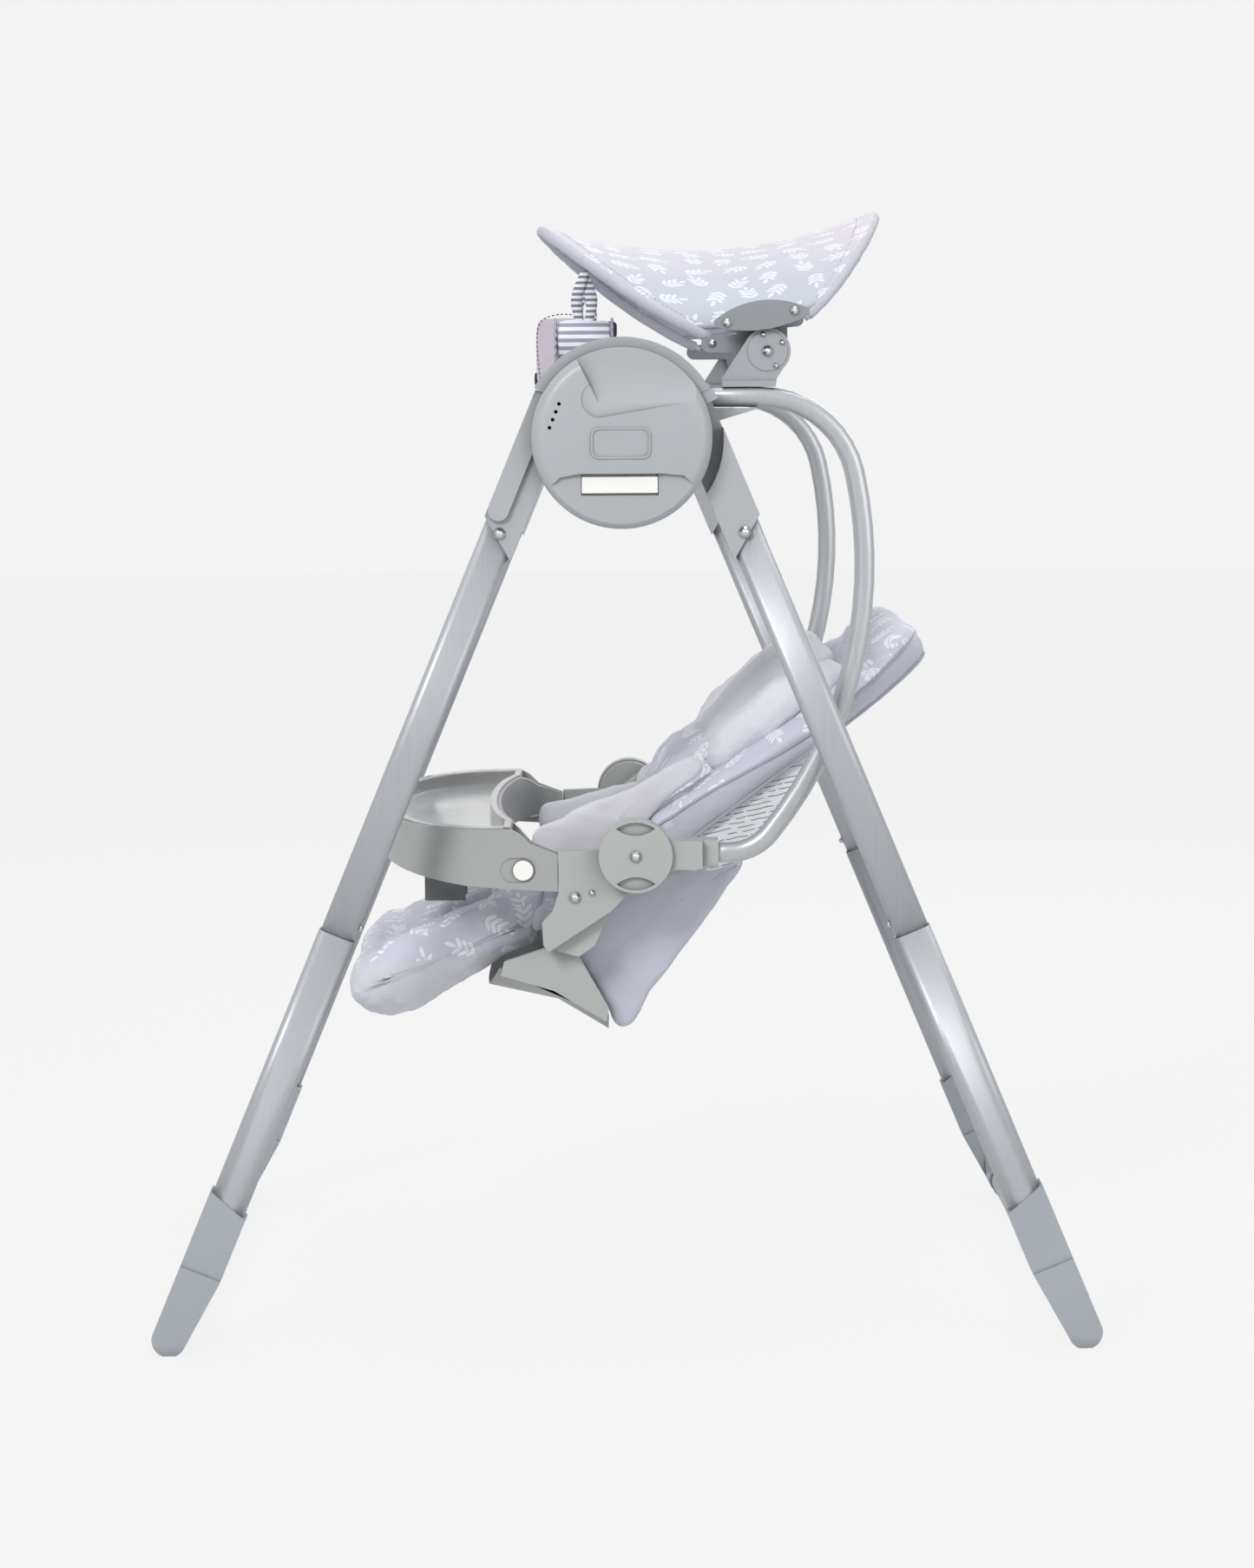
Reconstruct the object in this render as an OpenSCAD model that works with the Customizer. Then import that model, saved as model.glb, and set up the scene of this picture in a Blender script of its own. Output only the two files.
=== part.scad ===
// Electric baby swing: two A-frames, two C-shaped swing arms, a reclining seat with a tray bar, a canopy
// and toys.
// Millimetres. X runs from the foot end (-) to the head end (+), Y across, Z up from the floor.
// The origin is on the floor under the swing axis. "left" is the baby's left, on the -Y side.

/* [Stand frame] */
// Height of the swing axis above the floor
hub_height = 791; // [760:1:820]
// Angle of each leg from upright
leg_angle = 22.6; // [21.5:0.1:23.5]
// Distance from the swing axis to the centre line of a leg
leg_offset = 65.5; // [63:0.5:68]
// Distance from the middle plane to the leg tubes
leg_plane = 290; // [284:1:300]
// Width of the upper leg tubes
upper_tube_w = 30; // [28:0.5:31]
// Depth of the upper leg tubes
upper_tube_d = 18; // [16:0.5:19]
// Wall of the leg tubes
tube_wall = 1.3; // [1:0.1:1.6]
// Distance along the leg from the axis level to the seam between upper and lower tube
seam_len = 487; // [460:1:520]
// Length of the upper tube that is plugged into the lower tube
plug_len = 55; // [40:1:80]
// Radius of the round part of the base tube, along the floor
cross_r = 11; // [9.5:0.5:12]
// Bend radius of the base tube at its corners
cross_bend = 36; // [30:1:42]

/* [Feet] */
// Length of leg covered by a foot boot
boot_len = 136; // [120:1:160]
// Wall of a foot boot around its tube
boot_wall = 2.2; // [1.8:0.1:3]
// Radius of the rounded tip of a foot boot
boot_tip_r = 15; // [14.5:0.5:17]
// Length of the thick lower part of a foot boot, above the middle of the base tube
boot_step = 50; // [42:1:60]
// Length of the sleeve over the base tube, inwards from the leg
boot_sleeve = 48; // [44:1:60]

/* [Hub] */
// Radius of the round hub cover
cover_r = 76.4; // [74:0.2:78]
// Radius of the rim that carries the hub cover
rim_r = 85; // [83:0.5:87]
// How far the hub cover stands out from the housing
cover_depth = 24; // [22:0.5:26]
// Wall of the moulded covers
cover_wall = 2.5; // [2:0.1:3]
// Thickness of the hub housing behind the cover
housing_t = 24; // [22:0.5:26]
// Thickness of the rear leg's pivot plate
pivot_plate_t = 9; // [7:0.5:10]
// Radius of the housing boss that the rear leg turns on
pivot_boss_r = 18; // [16:0.5:20]
// Radius of the steel shafts that carry the swing
shaft_r = 6; // [5:0.5:7]
// Wall of the shaft bushings
bushing_wall = 4; // [3:0.5:5]
// Radial running clearance of shafts and pivots
running_gap = 0.05; // [0.02:0.01:0.08]
// Gap between parts that move past each other
free_gap = 0.5; // [0.4:0.1:0.8]
// Length of leg covered by a hub socket, on the inner side
socket_len = 132; // [125:1:140]
// Wall of the leg sockets
socket_wall = 2; // [1.6:0.1:2.4]
// Width of the white release lever
lever_w = 64; // [56:1:68]
// Height of the part of the release lever that shows
lever_h = 14; // [12:0.5:15]
// Travel of the release lever
lever_travel = 5; // [3:0.5:6]

/* [Swing arms] */
// Distance from the middle plane to the arm tubes
arm_plane = 245; // [243:0.5:247]
// Width of an arm tube, seen from the side
arm_w = 17; // [16:0.5:18]
// Depth of an arm tube, across the swing
arm_d = 20; // [18:0.5:21]
// Wall of the arm tubes
arm_wall = 1.5; // [1.2:0.1:2]
// Height of the arm tube's top run above the swing axis
arm_rise = 34; // [32:0.5:36]
// Furthest reach of the arm tube behind the swing axis
arm_reach = 210; // [205:1:216]
// Height of that furthest point above the floor
arm_reach_height = 680; // [670:1:690]
// Radius of the upper bend
upper_bend = 83; // [78:1:88]
// Radius of the long back curve
back_curve = 370; // [360:1:380]
// Radius of the lower bend
lower_bend = 45; // [40:1:50]

/* [Seat] */
// Place of the recline axis behind the swing axis
pivot_x = 10; // [6:0.5:14]
// Height of the recline axis above the floor
pivot_height = 430; // [422:1:438]
// Radius of the recline knobs
knob_r = 32; // [30:0.5:33]
// Radius of the recline pins
pin_r = 8; // [7:0.5:9]
// Thickness of the seat's side plates
side_t = 11; // [9:0.5:12]
// Radius of the backrest tube
back_tube_r = 8; // [7:0.5:9]
// Angle of the backrest above level
back_angle = 36.5; // [34:0.5:39]
// Length of the backrest from the recline axis
back_len = 305; // [290:1:315]
// Half width of the backrest, to the middle of its tube
back_half = 205; // [195:1:208]
// Half width of the padded leg rest
legrest_half = 168; // [150:1:180]
// Thickness of the inner cushion
insert_t = 30; // [24:1:36]
// Half width of the inner cushion
insert_half = 135; // [120:1:150]

/* [Tray bar] */
// Reach of the tray bar in front of the swing axis
bar_reach = 222; // [214:1:230]
// Wall of the tray bar
bar_wall = 3; // [2.5:0.1:4]
// Height of the tray deck above the floor
deck_height = 452; // [448:1:458]
// Depth of the hollow at the baby's belly
belly_reach = 80; // [70:1:84]
// Depth of the clear dish in the tray
dish_depth = 14; // [10:1:18]
// Radius of the release buttons
button_r = 9; // [7:0.5:10]
// Travel of the release buttons
button_travel = 3; // [2:0.5:4]

/* [Canopy] */
// Place of the canopy hinge behind the swing axis
hinge_x = 126; // [122:1:130]
// Height of the canopy hinge above the swing axis
hinge_rise = 73; // [70:1:78]
// Radius of the canopy hinge discs
hinge_r = 20; // [18:0.5:21]
// Radius of the canopy bows
bow_r = 3; // [2.5:0.5:4]
// Half width of the canopy at its brackets
canopy_half = 232; // [228:1:234]
// Place of the front bow's top in front of the swing axis
front_tip = 70; // [60:1:80]
// Height of the front bow's top above the floor
front_tip_height = 978; // [965:1:990]
// Place of the rear bow's top behind the swing axis
rear_tip = 236; // [228:1:244]
// Height of the rear bow's top above the floor
rear_tip_height = 990; // [978:1:1000]
// Depth that the canopy fabric sags between its bows
fabric_sag = 28; // [20:1:34]
// Thickness of the canopy fabric with its binding
fabric_t = 2.4; // [2:0.2:4]

/* [Toys] */
// Place of the toys on the front bow, as an angle from its top
toy_angle = 41; // [36:0.5:45]
// Radius of the striped roller on the ring toy
roller_r = 19; // [16:0.5:21]
// Height of the cloth book
book_h = 68; // [60:1:72]

/* [Hidden] */
$fn = 48;

plastic = [0.64, 0.66, 0.67];
seat_plastic = [0.65, 0.67, 0.65];
metal = [0.72, 0.74, 0.75];
chrome = [0.85, 0.86, 0.88];
white = [0.93, 0.93, 0.91];
lilac = [0.78, 0.79, 0.85];

// Leg tubes: the lower tube slides over the upper one.
plug_gap = 0.2;
lower_tube_w = upper_tube_w + 2 * (tube_wall + plug_gap);
lower_tube_d = upper_tube_d + 2 * (tube_wall + plug_gap);
tube_corner = 7;
seat_gap = 0.2;

// Feet. The tip's centre stands so that the boot ends in a narrow flat on the floor.
boot_half = lower_tube_w / 2 + boot_wall;
boot_depth = lower_tube_d + 2 * boot_wall;
boot_lip = 1.5;
tip_sink = 1;
tip_x = leg_offset + boot_half - boot_tip_r;
tip_len = (hub_height + tip_x * sin(leg_angle) - boot_tip_r + tip_sink) / cos(leg_angle);
cross_len = tip_len - 15;
boot_top = tip_len - boot_len;
boot_slant = 13;
flat_end = cross_len - boot_step;
foot_x = tip_x * cos(leg_angle) + tip_len * sin(leg_angle);

// Hub, from the outside inwards: cover, housing, rear pivot plate, arm hub.
housing_face = leg_plane + upper_tube_d / 2 + socket_wall + 5;
housing_back = housing_face - housing_t;
plate_face = housing_back - free_gap;
plate_back = plate_face - pivot_plate_t;
arm_face = plate_back - 1;
cover_face = housing_face + cover_depth;
bushing_r = shaft_r + running_gap + bushing_wall;
socket_half = upper_tube_w / 2 + seat_gap + socket_wall;
socket_depth = upper_tube_d + 2 * (seat_gap + socket_wall);
socket_slant = 27;
tube_start = 78;
dome_edge = 12;
catch_angle = 25;
rim_end_angle = 150;
lever_x = -2;
lever_z = -39;
lever_lip = 7;
lever_body = lever_w + 3;
lever_depth = 11;
lever_face = cover_face - 4.2;
shelf_depth = 5.5;
brow_z = lever_z + lever_h / 2 + 2.5;
spring_r = 4;
spring_len = 16;
spring_wire = 0.9;

// Battery cells and the drive's coil and magnet
cell_r = 7.1;
cell_len = 50;
cell_step = 14.5;
cell_count = 4;
cell_z = 14;
coil_x = -35;
coil_r = 12;
coil_t = 8;
magnet_t = 6;
shaft_out = housing_face + 9;

// Arms: an upper bend, a long back curve and a lower bend, each tangent to the next.
arm_cx = arm_reach - back_curve;
arm_top_z = hub_height + arm_rise;
upper_turn = asin((arm_top_z - arm_reach_height - upper_bend) / (back_curve - upper_bend));
upper_cx = arm_cx + (back_curve - upper_bend) * cos(upper_turn);
upper_cz = arm_top_z - upper_bend;
lower_turn = asin((arm_reach_height - pivot_height - lower_bend) / (back_curve - lower_bend));
lower_cx = arm_cx + (back_curve - lower_bend) * cos(lower_turn);
lower_cz = pivot_height + lower_bend;
arm_start = -25;
arm_corner = 6.5;
arm_end = pivot_x + knob_r + 2;
arm_hub_r = 46;
sleeve_end = 76;
bulge_end = 117;

// Seat, from the outside inwards: knob, side plate, wing, cradle
side_out = arm_plane + arm_d / 2 - 3 - free_gap;
side_in = side_out - side_t;
side_front = 67.3;
wing_w = 18;
shell_t = 3;
back_bend = 90;
soft_gap = 0.3;

// Tray bar, its hollow side rails and its tongues in the seat's side plates
bar_half = side_out - 0.5;
bar_rear = pivot_x - side_front - free_gap;
bend_x = bar_rear - 40;
bar_floor = 397;
side_w = 15;
tongue_len = 18;
tongue_t = 5;
lip_floor = 410;
deck_end = bar_rear - 40;
rim_w = 5;
button_recess = 1.2;
button_x = -88;
button_z = 416;

// ---------- shared shapes ----------

// A rectangle with round corners, centred.
module round_rect(w, h, r) {
    square([w - 2 * r, h], center = true);
    square([w, h - 2 * r], center = true);
    for (x = [-1, 1], y = [-1, 1])
        translate([x * (w / 2 - r), y * (h / 2 - r)]) circle(r);
}

// The cross section of a tube with a round-cornered rectangular outline.
module tube_section(w, h, r, wall) {
    difference() {
        round_rect(w, h, r);
        round_rect(w - 2 * wall, h - 2 * wall, r - wall);
    }
}

// A bar with round ends between two points. Its middle is a hair narrower, so that it crosses the end
// circles.
module pill(a, b, r) {
    d = b - a;
    w = 0.998 * r;
    translate(a) circle(r);
    translate(b) circle(r);
    translate(a) rotate(atan2(d[1], d[0])) translate([0, -w]) square([norm(d), 2 * w]);
}

// Extrudes a drawing of the X-Z plane on the left side, from inner to outer distance from the middle plane.
module side_slab(inner, outer) {
    translate([0, -inner, 0]) rotate([90, 0, 0]) linear_extrude(outer - inner) children();
}

// A round bar across the swing on the left side, between two distances from the middle plane.
module cross_pin(x, z, r, inner, outer) {
    translate([x, -inner, z]) rotate([90, 0, 0]) cylinder(r = r, h = outer - inner);
}

// Everything inside is mirrored to the right side.
module to_right() {
    mirror([0, 1, 0]) children();
}

// Frame of the left front leg: the leg runs along -Z at X = -leg_offset, through its own plane.
module on_leg() {
    translate([0, 0, hub_height]) rotate([0, leg_angle, 0]) children();
}

// A piece of leg, given by its section, between two distances along the leg.
module leg_run(from, to) {
    translate([-leg_offset, -leg_plane, -to]) linear_extrude(to - from) children();
}

// ---------- legs and feet ----------

module upper_leg() {
    on_leg() leg_run(tube_start, seam_len + plug_len)
        tube_section(upper_tube_w, upper_tube_d, tube_corner, tube_wall);
}

// Half of the round part of the base tube, from inside the leg to the middle plane.
module base_round(r) {
    straight = leg_plane - cross_bend;
    translate([-leg_offset, -leg_plane, -(cross_len - cross_bend)]) cylinder(r = r, h = cross_bend);
    translate([-leg_offset, -straight, -(cross_len - cross_bend)])
        rotate([0, 90, 0]) rotate([0, 0, -90])
        rotate_extrude(angle = 90) translate([cross_bend, 0]) circle(r);
    translate([-leg_offset, 0, -cross_len]) rotate([90, 0, 0]) cylinder(r = r, h = straight);
}

module base_half() {
    on_leg() {
        leg_run(seam_len, flat_end)
            tube_section(lower_tube_w, lower_tube_d, tube_corner, tube_wall);
        leg_run(flat_end - 6, flat_end)
            round_rect(lower_tube_w - 2 * tube_wall, lower_tube_d - 2 * tube_wall, tube_corner - tube_wall);
        base_round(cross_r);
    }
}

module base_tube() {
    base_half();
    to_right() base_half();
}

// Outline of a foot boot in the leg's plane: straight on the outside, tapered on the inside, round at the
// tip.
module boot_outline() {
    outer = -leg_offset - boot_half;
    inner = -leg_offset + boot_half;
    polygon([
        [outer, -boot_top], [inner, -boot_top - boot_slant], [inner, -flat_end - boot_lip],
        [-tip_x + boot_tip_r, -tip_len], [outer, -tip_len]
    ]);
    translate([-tip_x, -tip_len]) circle(boot_tip_r);
}

module boot() {
    mid = leg_plane;
    half = boot_depth / 2;
    clear = seat_gap;
    intersection() {
        on_leg() difference() {
            union() {
                side_slab(mid - half, mid + half) boot_outline();
                intersection() {
                    side_slab(mid - half - boot_lip, mid + half + boot_lip) boot_outline();
                    translate([-leg_offset, -mid, -flat_end - 60]) cube([120, 80, 120], center = true);
                }
                translate([-leg_offset, -(mid - boot_sleeve), -cross_len])
                    rotate([90, 0, 0]) cylinder(r = cross_r + boot_wall, h = boot_sleeve);
            }
            leg_run(boot_top - 20, flat_end + clear)
                round_rect(lower_tube_w + 2 * clear, lower_tube_d + 2 * clear, tube_corner + clear);
            base_round(cross_r + clear);
        }
        translate([-foot_x, -mid, 200]) cube([400, 400, 400], center = true);
    }
}

// ---------- hub ----------

// The leg socket: a sleeve with a slanted end that is longer on the inner side of the leg.
module socket_outline(half) {
    polygon([
        [-leg_offset - half, 10], [-leg_offset + half, 10],
        [-leg_offset + half, -socket_len], [-leg_offset - half, -(socket_len - socket_slant)]
    ]);
}

module socket_bore() {
    leg_run(tube_start - 1, socket_len + 20)
        round_rect(upper_tube_w + 2 * seat_gap, upper_tube_d + 2 * seat_gap, tube_corner + seat_gap);
}

// The ring-shaped rim over the top of the hub, from the catch round to the front leg.
module rim_sector(inner) {
    far = 2 * rim_r;
    span = rim_end_angle - catch_angle;
    rotate(catch_angle) intersection() {
        difference() {
            circle(rim_r);
            circle(inner);
        }
        polygon([
            [0, 0], [far, 0], [far * cos(span / 3), far * sin(span / 3)],
            [far * cos(span * 2 / 3), far * sin(span * 2 / 3)], [far * cos(span), far * sin(span)]
        ]);
    }
}

// The raised grip band along the outer edge of the front socket.
module grip_band() {
    band_r = 9;
    edge = -leg_offset - socket_half + band_r;
    pill([edge, -96], [edge, -2], band_r);
    pill([edge, -2], [edge + 10, 26], band_r);
}

module hub_housing() {
    sock_in = leg_plane - socket_depth / 2;
    sock_out = leg_plane + socket_depth / 2;
    difference() {
        union() {
            translate([0, 0, hub_height]) {
                side_slab(housing_back, housing_face) circle(cover_r);
                side_slab(housing_face - 14, housing_face) rim_sector(cover_r - 2);
                side_slab(housing_face - 14, housing_face + 3) rim_sector(cover_r + 0.3);
                side_slab(arm_face + 1, housing_back + 1) circle(pivot_boss_r);
                // the catch where the rim ends
                rotate([0, -catch_angle, 0])
                    side_slab(housing_face - 6, housing_face + 4.5)
                    translate([cover_r + 0.3, -4.5]) square([rim_r - cover_r + 2, 9]);
            }
            on_leg() {
                side_slab(sock_in, sock_out) difference() {
                    socket_outline(socket_half);
                    circle(cover_r - 4);
                }
                side_slab(housing_back, sock_out) socket_outline(socket_half);
                side_slab(sock_out - 1, sock_out + 4.5) grip_band();
            }
        }
        on_leg() socket_bore();
        translate([0, 0, hub_height]) {
            // room for the rear leg's pivot plate
            side_slab(plate_back - 2, plate_face + free_gap) difference() {
                circle(cover_r + 2);
                circle(pivot_boss_r);
            }
            side_slab(arm_face, housing_face + 5) circle(bushing_r + 0.02);
            // battery bay and coil pocket, closed by the cover
            side_slab(housing_face - 2 * cell_r - 2, housing_face + 1)
                translate([0, cell_z + cell_len / 2])
                square([cell_count * cell_step + 1, cell_len + 2], center = true);
            side_slab(housing_face - coil_t, housing_face + 1) translate([coil_x, 0]) circle(coil_r + 0.1);
        }
    }
}

// The domed hub cover: grip scoop, bare plate, sunk shelf with the lever window, and four small holes.
module hub_cover() {
    translate([0, 0, hub_height]) {
        difference() {
            union() {
                difference() {
                    cover_dome(cover_r, cover_depth);
                    translate([0, 1, 0]) cover_dome(cover_r - cover_wall, cover_depth - cover_wall + 1);
                }
                intersection() {
                    cover_dome(cover_r, cover_depth);
                    cover_hollows(cover_wall);
                }
            }
            cover_hollows(0);
            // release lever window, cut from behind so that the brow over it stays
            side_slab(cover_face - 16, lever_face + 0.3)
                translate([lever_x, lever_z + lever_travel / 2]) square([lever_w + 1,
                    lever_h + lever_travel + 4], center = true);
            for (i = [0:3])
                side_slab(cover_face - 16, cover_face + 6)
                    translate([-52.5 - 2.7 * i, 29 - 6.6 * i]) circle(1.6);
        }
        side_slab(cover_face - 5, cover_face + 0.6) translate([-1, -4]) difference() {
            round_rect(50, 26, 7);
            round_rect(47, 23, 5.5);
        }
        lever_guide();
    }
}

// What is hollowed out of the cover's face: the scoop, the shallow lip round it and the lever's shelf.
module cover_hollows(skin) {
    grip_scoop(skin);
    side_slab(cover_face - 2.5 - skin, cover_face + 6) {
        lip_r = 15.5 + skin;
        polygon(concat([for (i = [0:9]) let (a = 80 + 21 * i) [-18.5 + lip_r * cos(a),
            32.5 + lip_r * sin(a)]],
            [[66 + skin, 31.5]]));
    }
    side_slab(cover_face - shelf_depth - skin, cover_face + 6) {
        side = 60 + skin;
        top = brow_z + skin;
        polygon([[-side, -90], [-side, top - 10], [-side + 8, top - 3], [-36, top], [34, top],
            [side - 8, top - 2], [side, top - 9], [side, -90]]);
    }
}

// Ribs inside the cover: two that the lever slides between, one that it rests on and one behind its spring.
module lever_guide() {
    side = lever_body / 2 + 0.3;
    foot = lever_z - lever_h / 2;
    head = lever_z + lever_h / 2 + lever_lip + spring_len;
    back = lever_face - lever_depth;
    front = cover_face - shelf_depth - 1;
    side_slab(back, front)
        for (s = [-1, 1])
            translate([lever_x + s * (side + 1) - 1, foot - 3]) square([2, lever_h + lever_lip + 8]);
    side_slab(back, front - 1) translate([lever_x - side - 1, foot - 2.3]) square([2 * side + 2, 2]);
    side_slab(back, cover_face - 1.4) translate([lever_x - 8, head + 0.1]) square([16, 2]);
}

// A turned dome around the swing axis, standing out from the housing's face by its depth.
module cover_dome(r, depth) {
    crown = 3;
    shoulder = r - dome_edge;
    rise = depth - crown - dome_edge;
    edge = [for (i = [0:6]) let (a = 15 * i) [shoulder + dome_edge * cos(a), rise + dome_edge * sin(a)]];
    top = [for (i = [1:4]) let (x = shoulder * (1 - i / 4)) [x, depth - crown * pow(x / shoulder, 2)]];
    translate([0, -housing_face, 0]) rotate([90, 0, 0])
        rotate_extrude() polygon(concat([[0, 0], [r, 0]], edge, top));
}

// The finger scoop: a pocket with a slanted left wall and a ledge that slopes up to its back.
module grip_scoop(skin) {
    ledge = 47 - skin;
    slope = 62;
    back = -(cover_face - 12 - skin);
    run = [cos(slope), sin(slope)];
    intersection() {
        side_slab(-back, cover_face + 10)
            polygon([[-8 - skin, ledge - 40], [-48 - skin, ledge + 40], [100, ledge + 40], [100,
                ledge - 40]]);
        translate([-60, 0, 0]) rotate([90, 0, 90]) linear_extrude(200)
            polygon([[back, ledge] - 60 * run, [back, ledge] + 8 * run, [back + 8 * run[0], ledge + 60],
                [back - 60, ledge + 60]]);
    }
}

module shaft_bushing() {
    translate([0, 0, hub_height]) difference() {
        side_slab(arm_face + 1.2, housing_face) circle(bushing_r);
        side_slab(arm_face, housing_face + 1) circle(shaft_r + running_gap);
    }
}

module drive_coil() {
    translate([coil_x, 0, hub_height]) side_slab(housing_face - coil_t, housing_face - 0.5) difference() {
        circle(coil_r);
        circle(3);
    }
}

module battery_cells() {
    for (i = [0:cell_count - 1])
        translate([(i - (cell_count - 1) / 2) * cell_step, -(housing_face - cell_r - 1.8),
            hub_height + cell_z + 0.2])
            cylinder(r = cell_r, h = cell_len);
}

// Screws through the leg sockets and spring buttons at the tube seams, for one leg.
module leg_fasteners() {
    screw_len = 114;
    button_len = seam_len - 13;
    sock_out = leg_plane + socket_depth / 2;
    on_leg() {
        translate([-leg_offset, 0, -screw_len]) screw(sock_out, 5);
        translate([-leg_offset + upper_tube_w / 2, -leg_plane, -button_len]) rotate([0, 90, 0]) {
            cylinder(r = 3, h = 2.2);
            cylinder(r = 2, h = 3.4);
        }
    }
}

// A stepped screw head lying on a face at the given distance from the middle plane.
module screw(face, head_r) {
    side_slab(face, face + 1.4) circle(head_r);
    side_slab(face + 1.4, face + 2.2) circle(head_r * 0.7);
}

module lever() {
    show_z = lever_z - lever_h / 2;
    translate([lever_x, 0, hub_height]) {
        side_slab(lever_face - lever_depth, cover_face - shelf_depth - cover_wall - 0.6)
            translate([0, show_z + (lever_h + lever_lip) / 2]) square([lever_body, lever_h + lever_lip],
                center = true);
        side_slab(lever_face - lever_depth + 1, lever_face)
            translate([0, show_z + lever_h / 2]) square([lever_w, lever_h], center = true);
    }
}

function spring_point(t) = let (a = 360 * 6 * t)
    [(spring_r - spring_wire) * cos(a), (spring_r - spring_wire) * sin(a), spring_len * t];

// A coil spring between the release lever and the cover's rib, as one swept wire.
module lever_spring() {
    steps = 60;
    sides = 5;
    base = lever_z + lever_h / 2 + lever_lip;
    rings = [for (i = [0:steps]) let (
        t = i / steps, p = spring_point(t * (1 - 2 * spring_wire / spring_len)),
        d = [cos(2160 * t), sin(2160 * t), 0])
        [for (k = [0:sides - 1]) let (b = 360 * k / sides)
            p + spring_wire * (cos(b) * d + sin(b) * [0, 0, 1]) + [0, 0, spring_wire]]];
    translate([lever_x, -(lever_face - lever_depth / 2), hub_height + base]) swept(rings);
}

// Skins a list of rings, each a list of points, with closed ends.
module swept(rings) {
    n = len(rings[0]);
    m = len(rings);
    points = [for (ring = rings, p = ring) p];
    walls = [for (i = [0:m - 2], k = [0:n - 1])
        [i * n + k, (i + 1) * n + k, (i + 1) * n + (k + 1) % n, i * n + (k + 1) % n]];
    first = [[for (k = [0:n - 1]) k]];
    last = [[for (k = [n - 1:-1:0]) (m - 1) * n + k]];
    polyhedron(points, concat(walls, first, last), convexity = 10);
}

// ---------- rear leg ----------

// The rear socket turns on the housing's boss by a thin plate, and thickens outside the hub cover.
module rear_socket() {
    sock_in = leg_plane - socket_depth / 2;
    sock_out = leg_plane + socket_depth / 2;
    swing_r = rim_r + 1.5;
    mirror([1, 0, 0]) difference() {
        union() {
            translate([0, 0, hub_height]) side_slab(plate_back, plate_face) circle(cover_r - 3);
            on_leg() {
                side_slab(plate_back, sock_out) difference() {
                    socket_outline(socket_half);
                    circle(swing_r);
                }
                side_slab(plate_back, plate_face) socket_outline(socket_half);
            }
        }
        on_leg() socket_bore();
        translate([0, 0, hub_height])
            side_slab(plate_back - 1, plate_face + 1) circle(pivot_boss_r + running_gap);
    }
}

// ---------- swing arms ----------

// An arc of the arm's route as [x, z, angle], where the angle points away from the bend's centre.
function arm_arc(cx, cz, r, from, to, steps) = [for (i = [1:steps]) let (a = from + (to - from) * i / steps)
    [cx + r * cos(a), cz + r * sin(a), a]];

// The route of the arm tube, from its root on the hub to its end in the recline knob.
arm_route = concat(
    [[arm_start, arm_top_z, 90], [upper_cx, arm_top_z, 90]],
    arm_arc(upper_cx, upper_cz, upper_bend, 90, upper_turn, 9),
    arm_arc(arm_cx, arm_reach_height, back_curve, upper_turn, -lower_turn, 14),
    arm_arc(lower_cx, lower_cz, lower_bend, -lower_turn, -90, 7),
    [[arm_end, pivot_height, -90]]);

// The outline of the arm tube: a rectangle with round corners, as [outwards, across].
function arm_section(inset) = [for (q = [3:-1:0], k = [3:-1:0]) let (
    a = 90 * q + 30 * k,
    cx = (arm_w / 2 - arm_corner) * (q == 0 || q == 3 ? 1 : -1),
    cy = (arm_d / 2 - arm_corner) * (q < 2 ? 1 : -1))
    [cx + (arm_corner - inset) * cos(a), cy + (arm_corner - inset) * sin(a)]];

module arm_sweep(inset, extra) {
    n = len(arm_route);
    swept([for (i = [0:n - 1]) let (p = arm_route[i], end = i == 0 || i == n - 1 ? -extra : 0)
        [for (c = arm_section(inset))
            [p[0] + end + c[0] * cos(p[2]), -arm_plane + c[1], p[1] + c[0] * sin(p[2])]]]);
}

module arm_tube() {
    difference() {
        arm_sweep(0, 0);
        arm_sweep(arm_wall, 1);
    }
}

// The hub on the swing shaft, with the sleeve that holds the root of the arm tube.
module arm_hub() {
    inner = arm_plane - arm_d / 2 - 3;
    outer = arm_plane + arm_d / 2 + 3;
    translate([0, 0, hub_height]) difference() {
        union() {
            side_slab(inner, outer) {
                circle(arm_hub_r);
                translate([arm_start - 3, 0]) square([sleeve_end - arm_start + 3, arm_rise + arm_w / 2 + 3]);
                translate([0, 12]) square([bulge_end, arm_rise - arm_w / 2 - 13]);
            }
            side_slab(outer - 1, arm_face) circle(arm_hub_r - 10);
        }
        translate([arm_start, -arm_plane, arm_rise]) rotate([0, 90, 0])
            linear_extrude(200) round_rect(arm_w + 2 * seat_gap, arm_d + 2 * seat_gap, arm_corner + seat_gap);
        side_slab(inner - 1, arm_face + 1) circle(shaft_r + 0.02);
        side_slab(inner - 1, outer + 1) polygon([[sleeve_end + 2, 12], [bulge_end + 1, 12],
            [bulge_end + 1, 24]]);
    }
}

module swing_shaft() {
    cross_pin(0, hub_height, shaft_r, arm_plane - arm_d / 2 - 3, shaft_out);
    cross_pin(0, hub_height, shaft_r + 3, arm_plane - arm_d / 2 - 7, arm_plane - arm_d / 2 - 3.02);
}

// The magnet that the coil pushes, on a short lever at the outer end of the left shaft.
module drive_magnet() {
    translate([0, 0, hub_height]) side_slab(housing_face + 1, housing_face + 1 + magnet_t) difference() {
        union() {
            pill([0, 0], [coil_x, 0], 8);
            translate([coil_x, 0]) circle(coil_r - 2);
            circle(shaft_r + 4);
        }
        circle(shaft_r + 0.02);
    }
}

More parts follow.
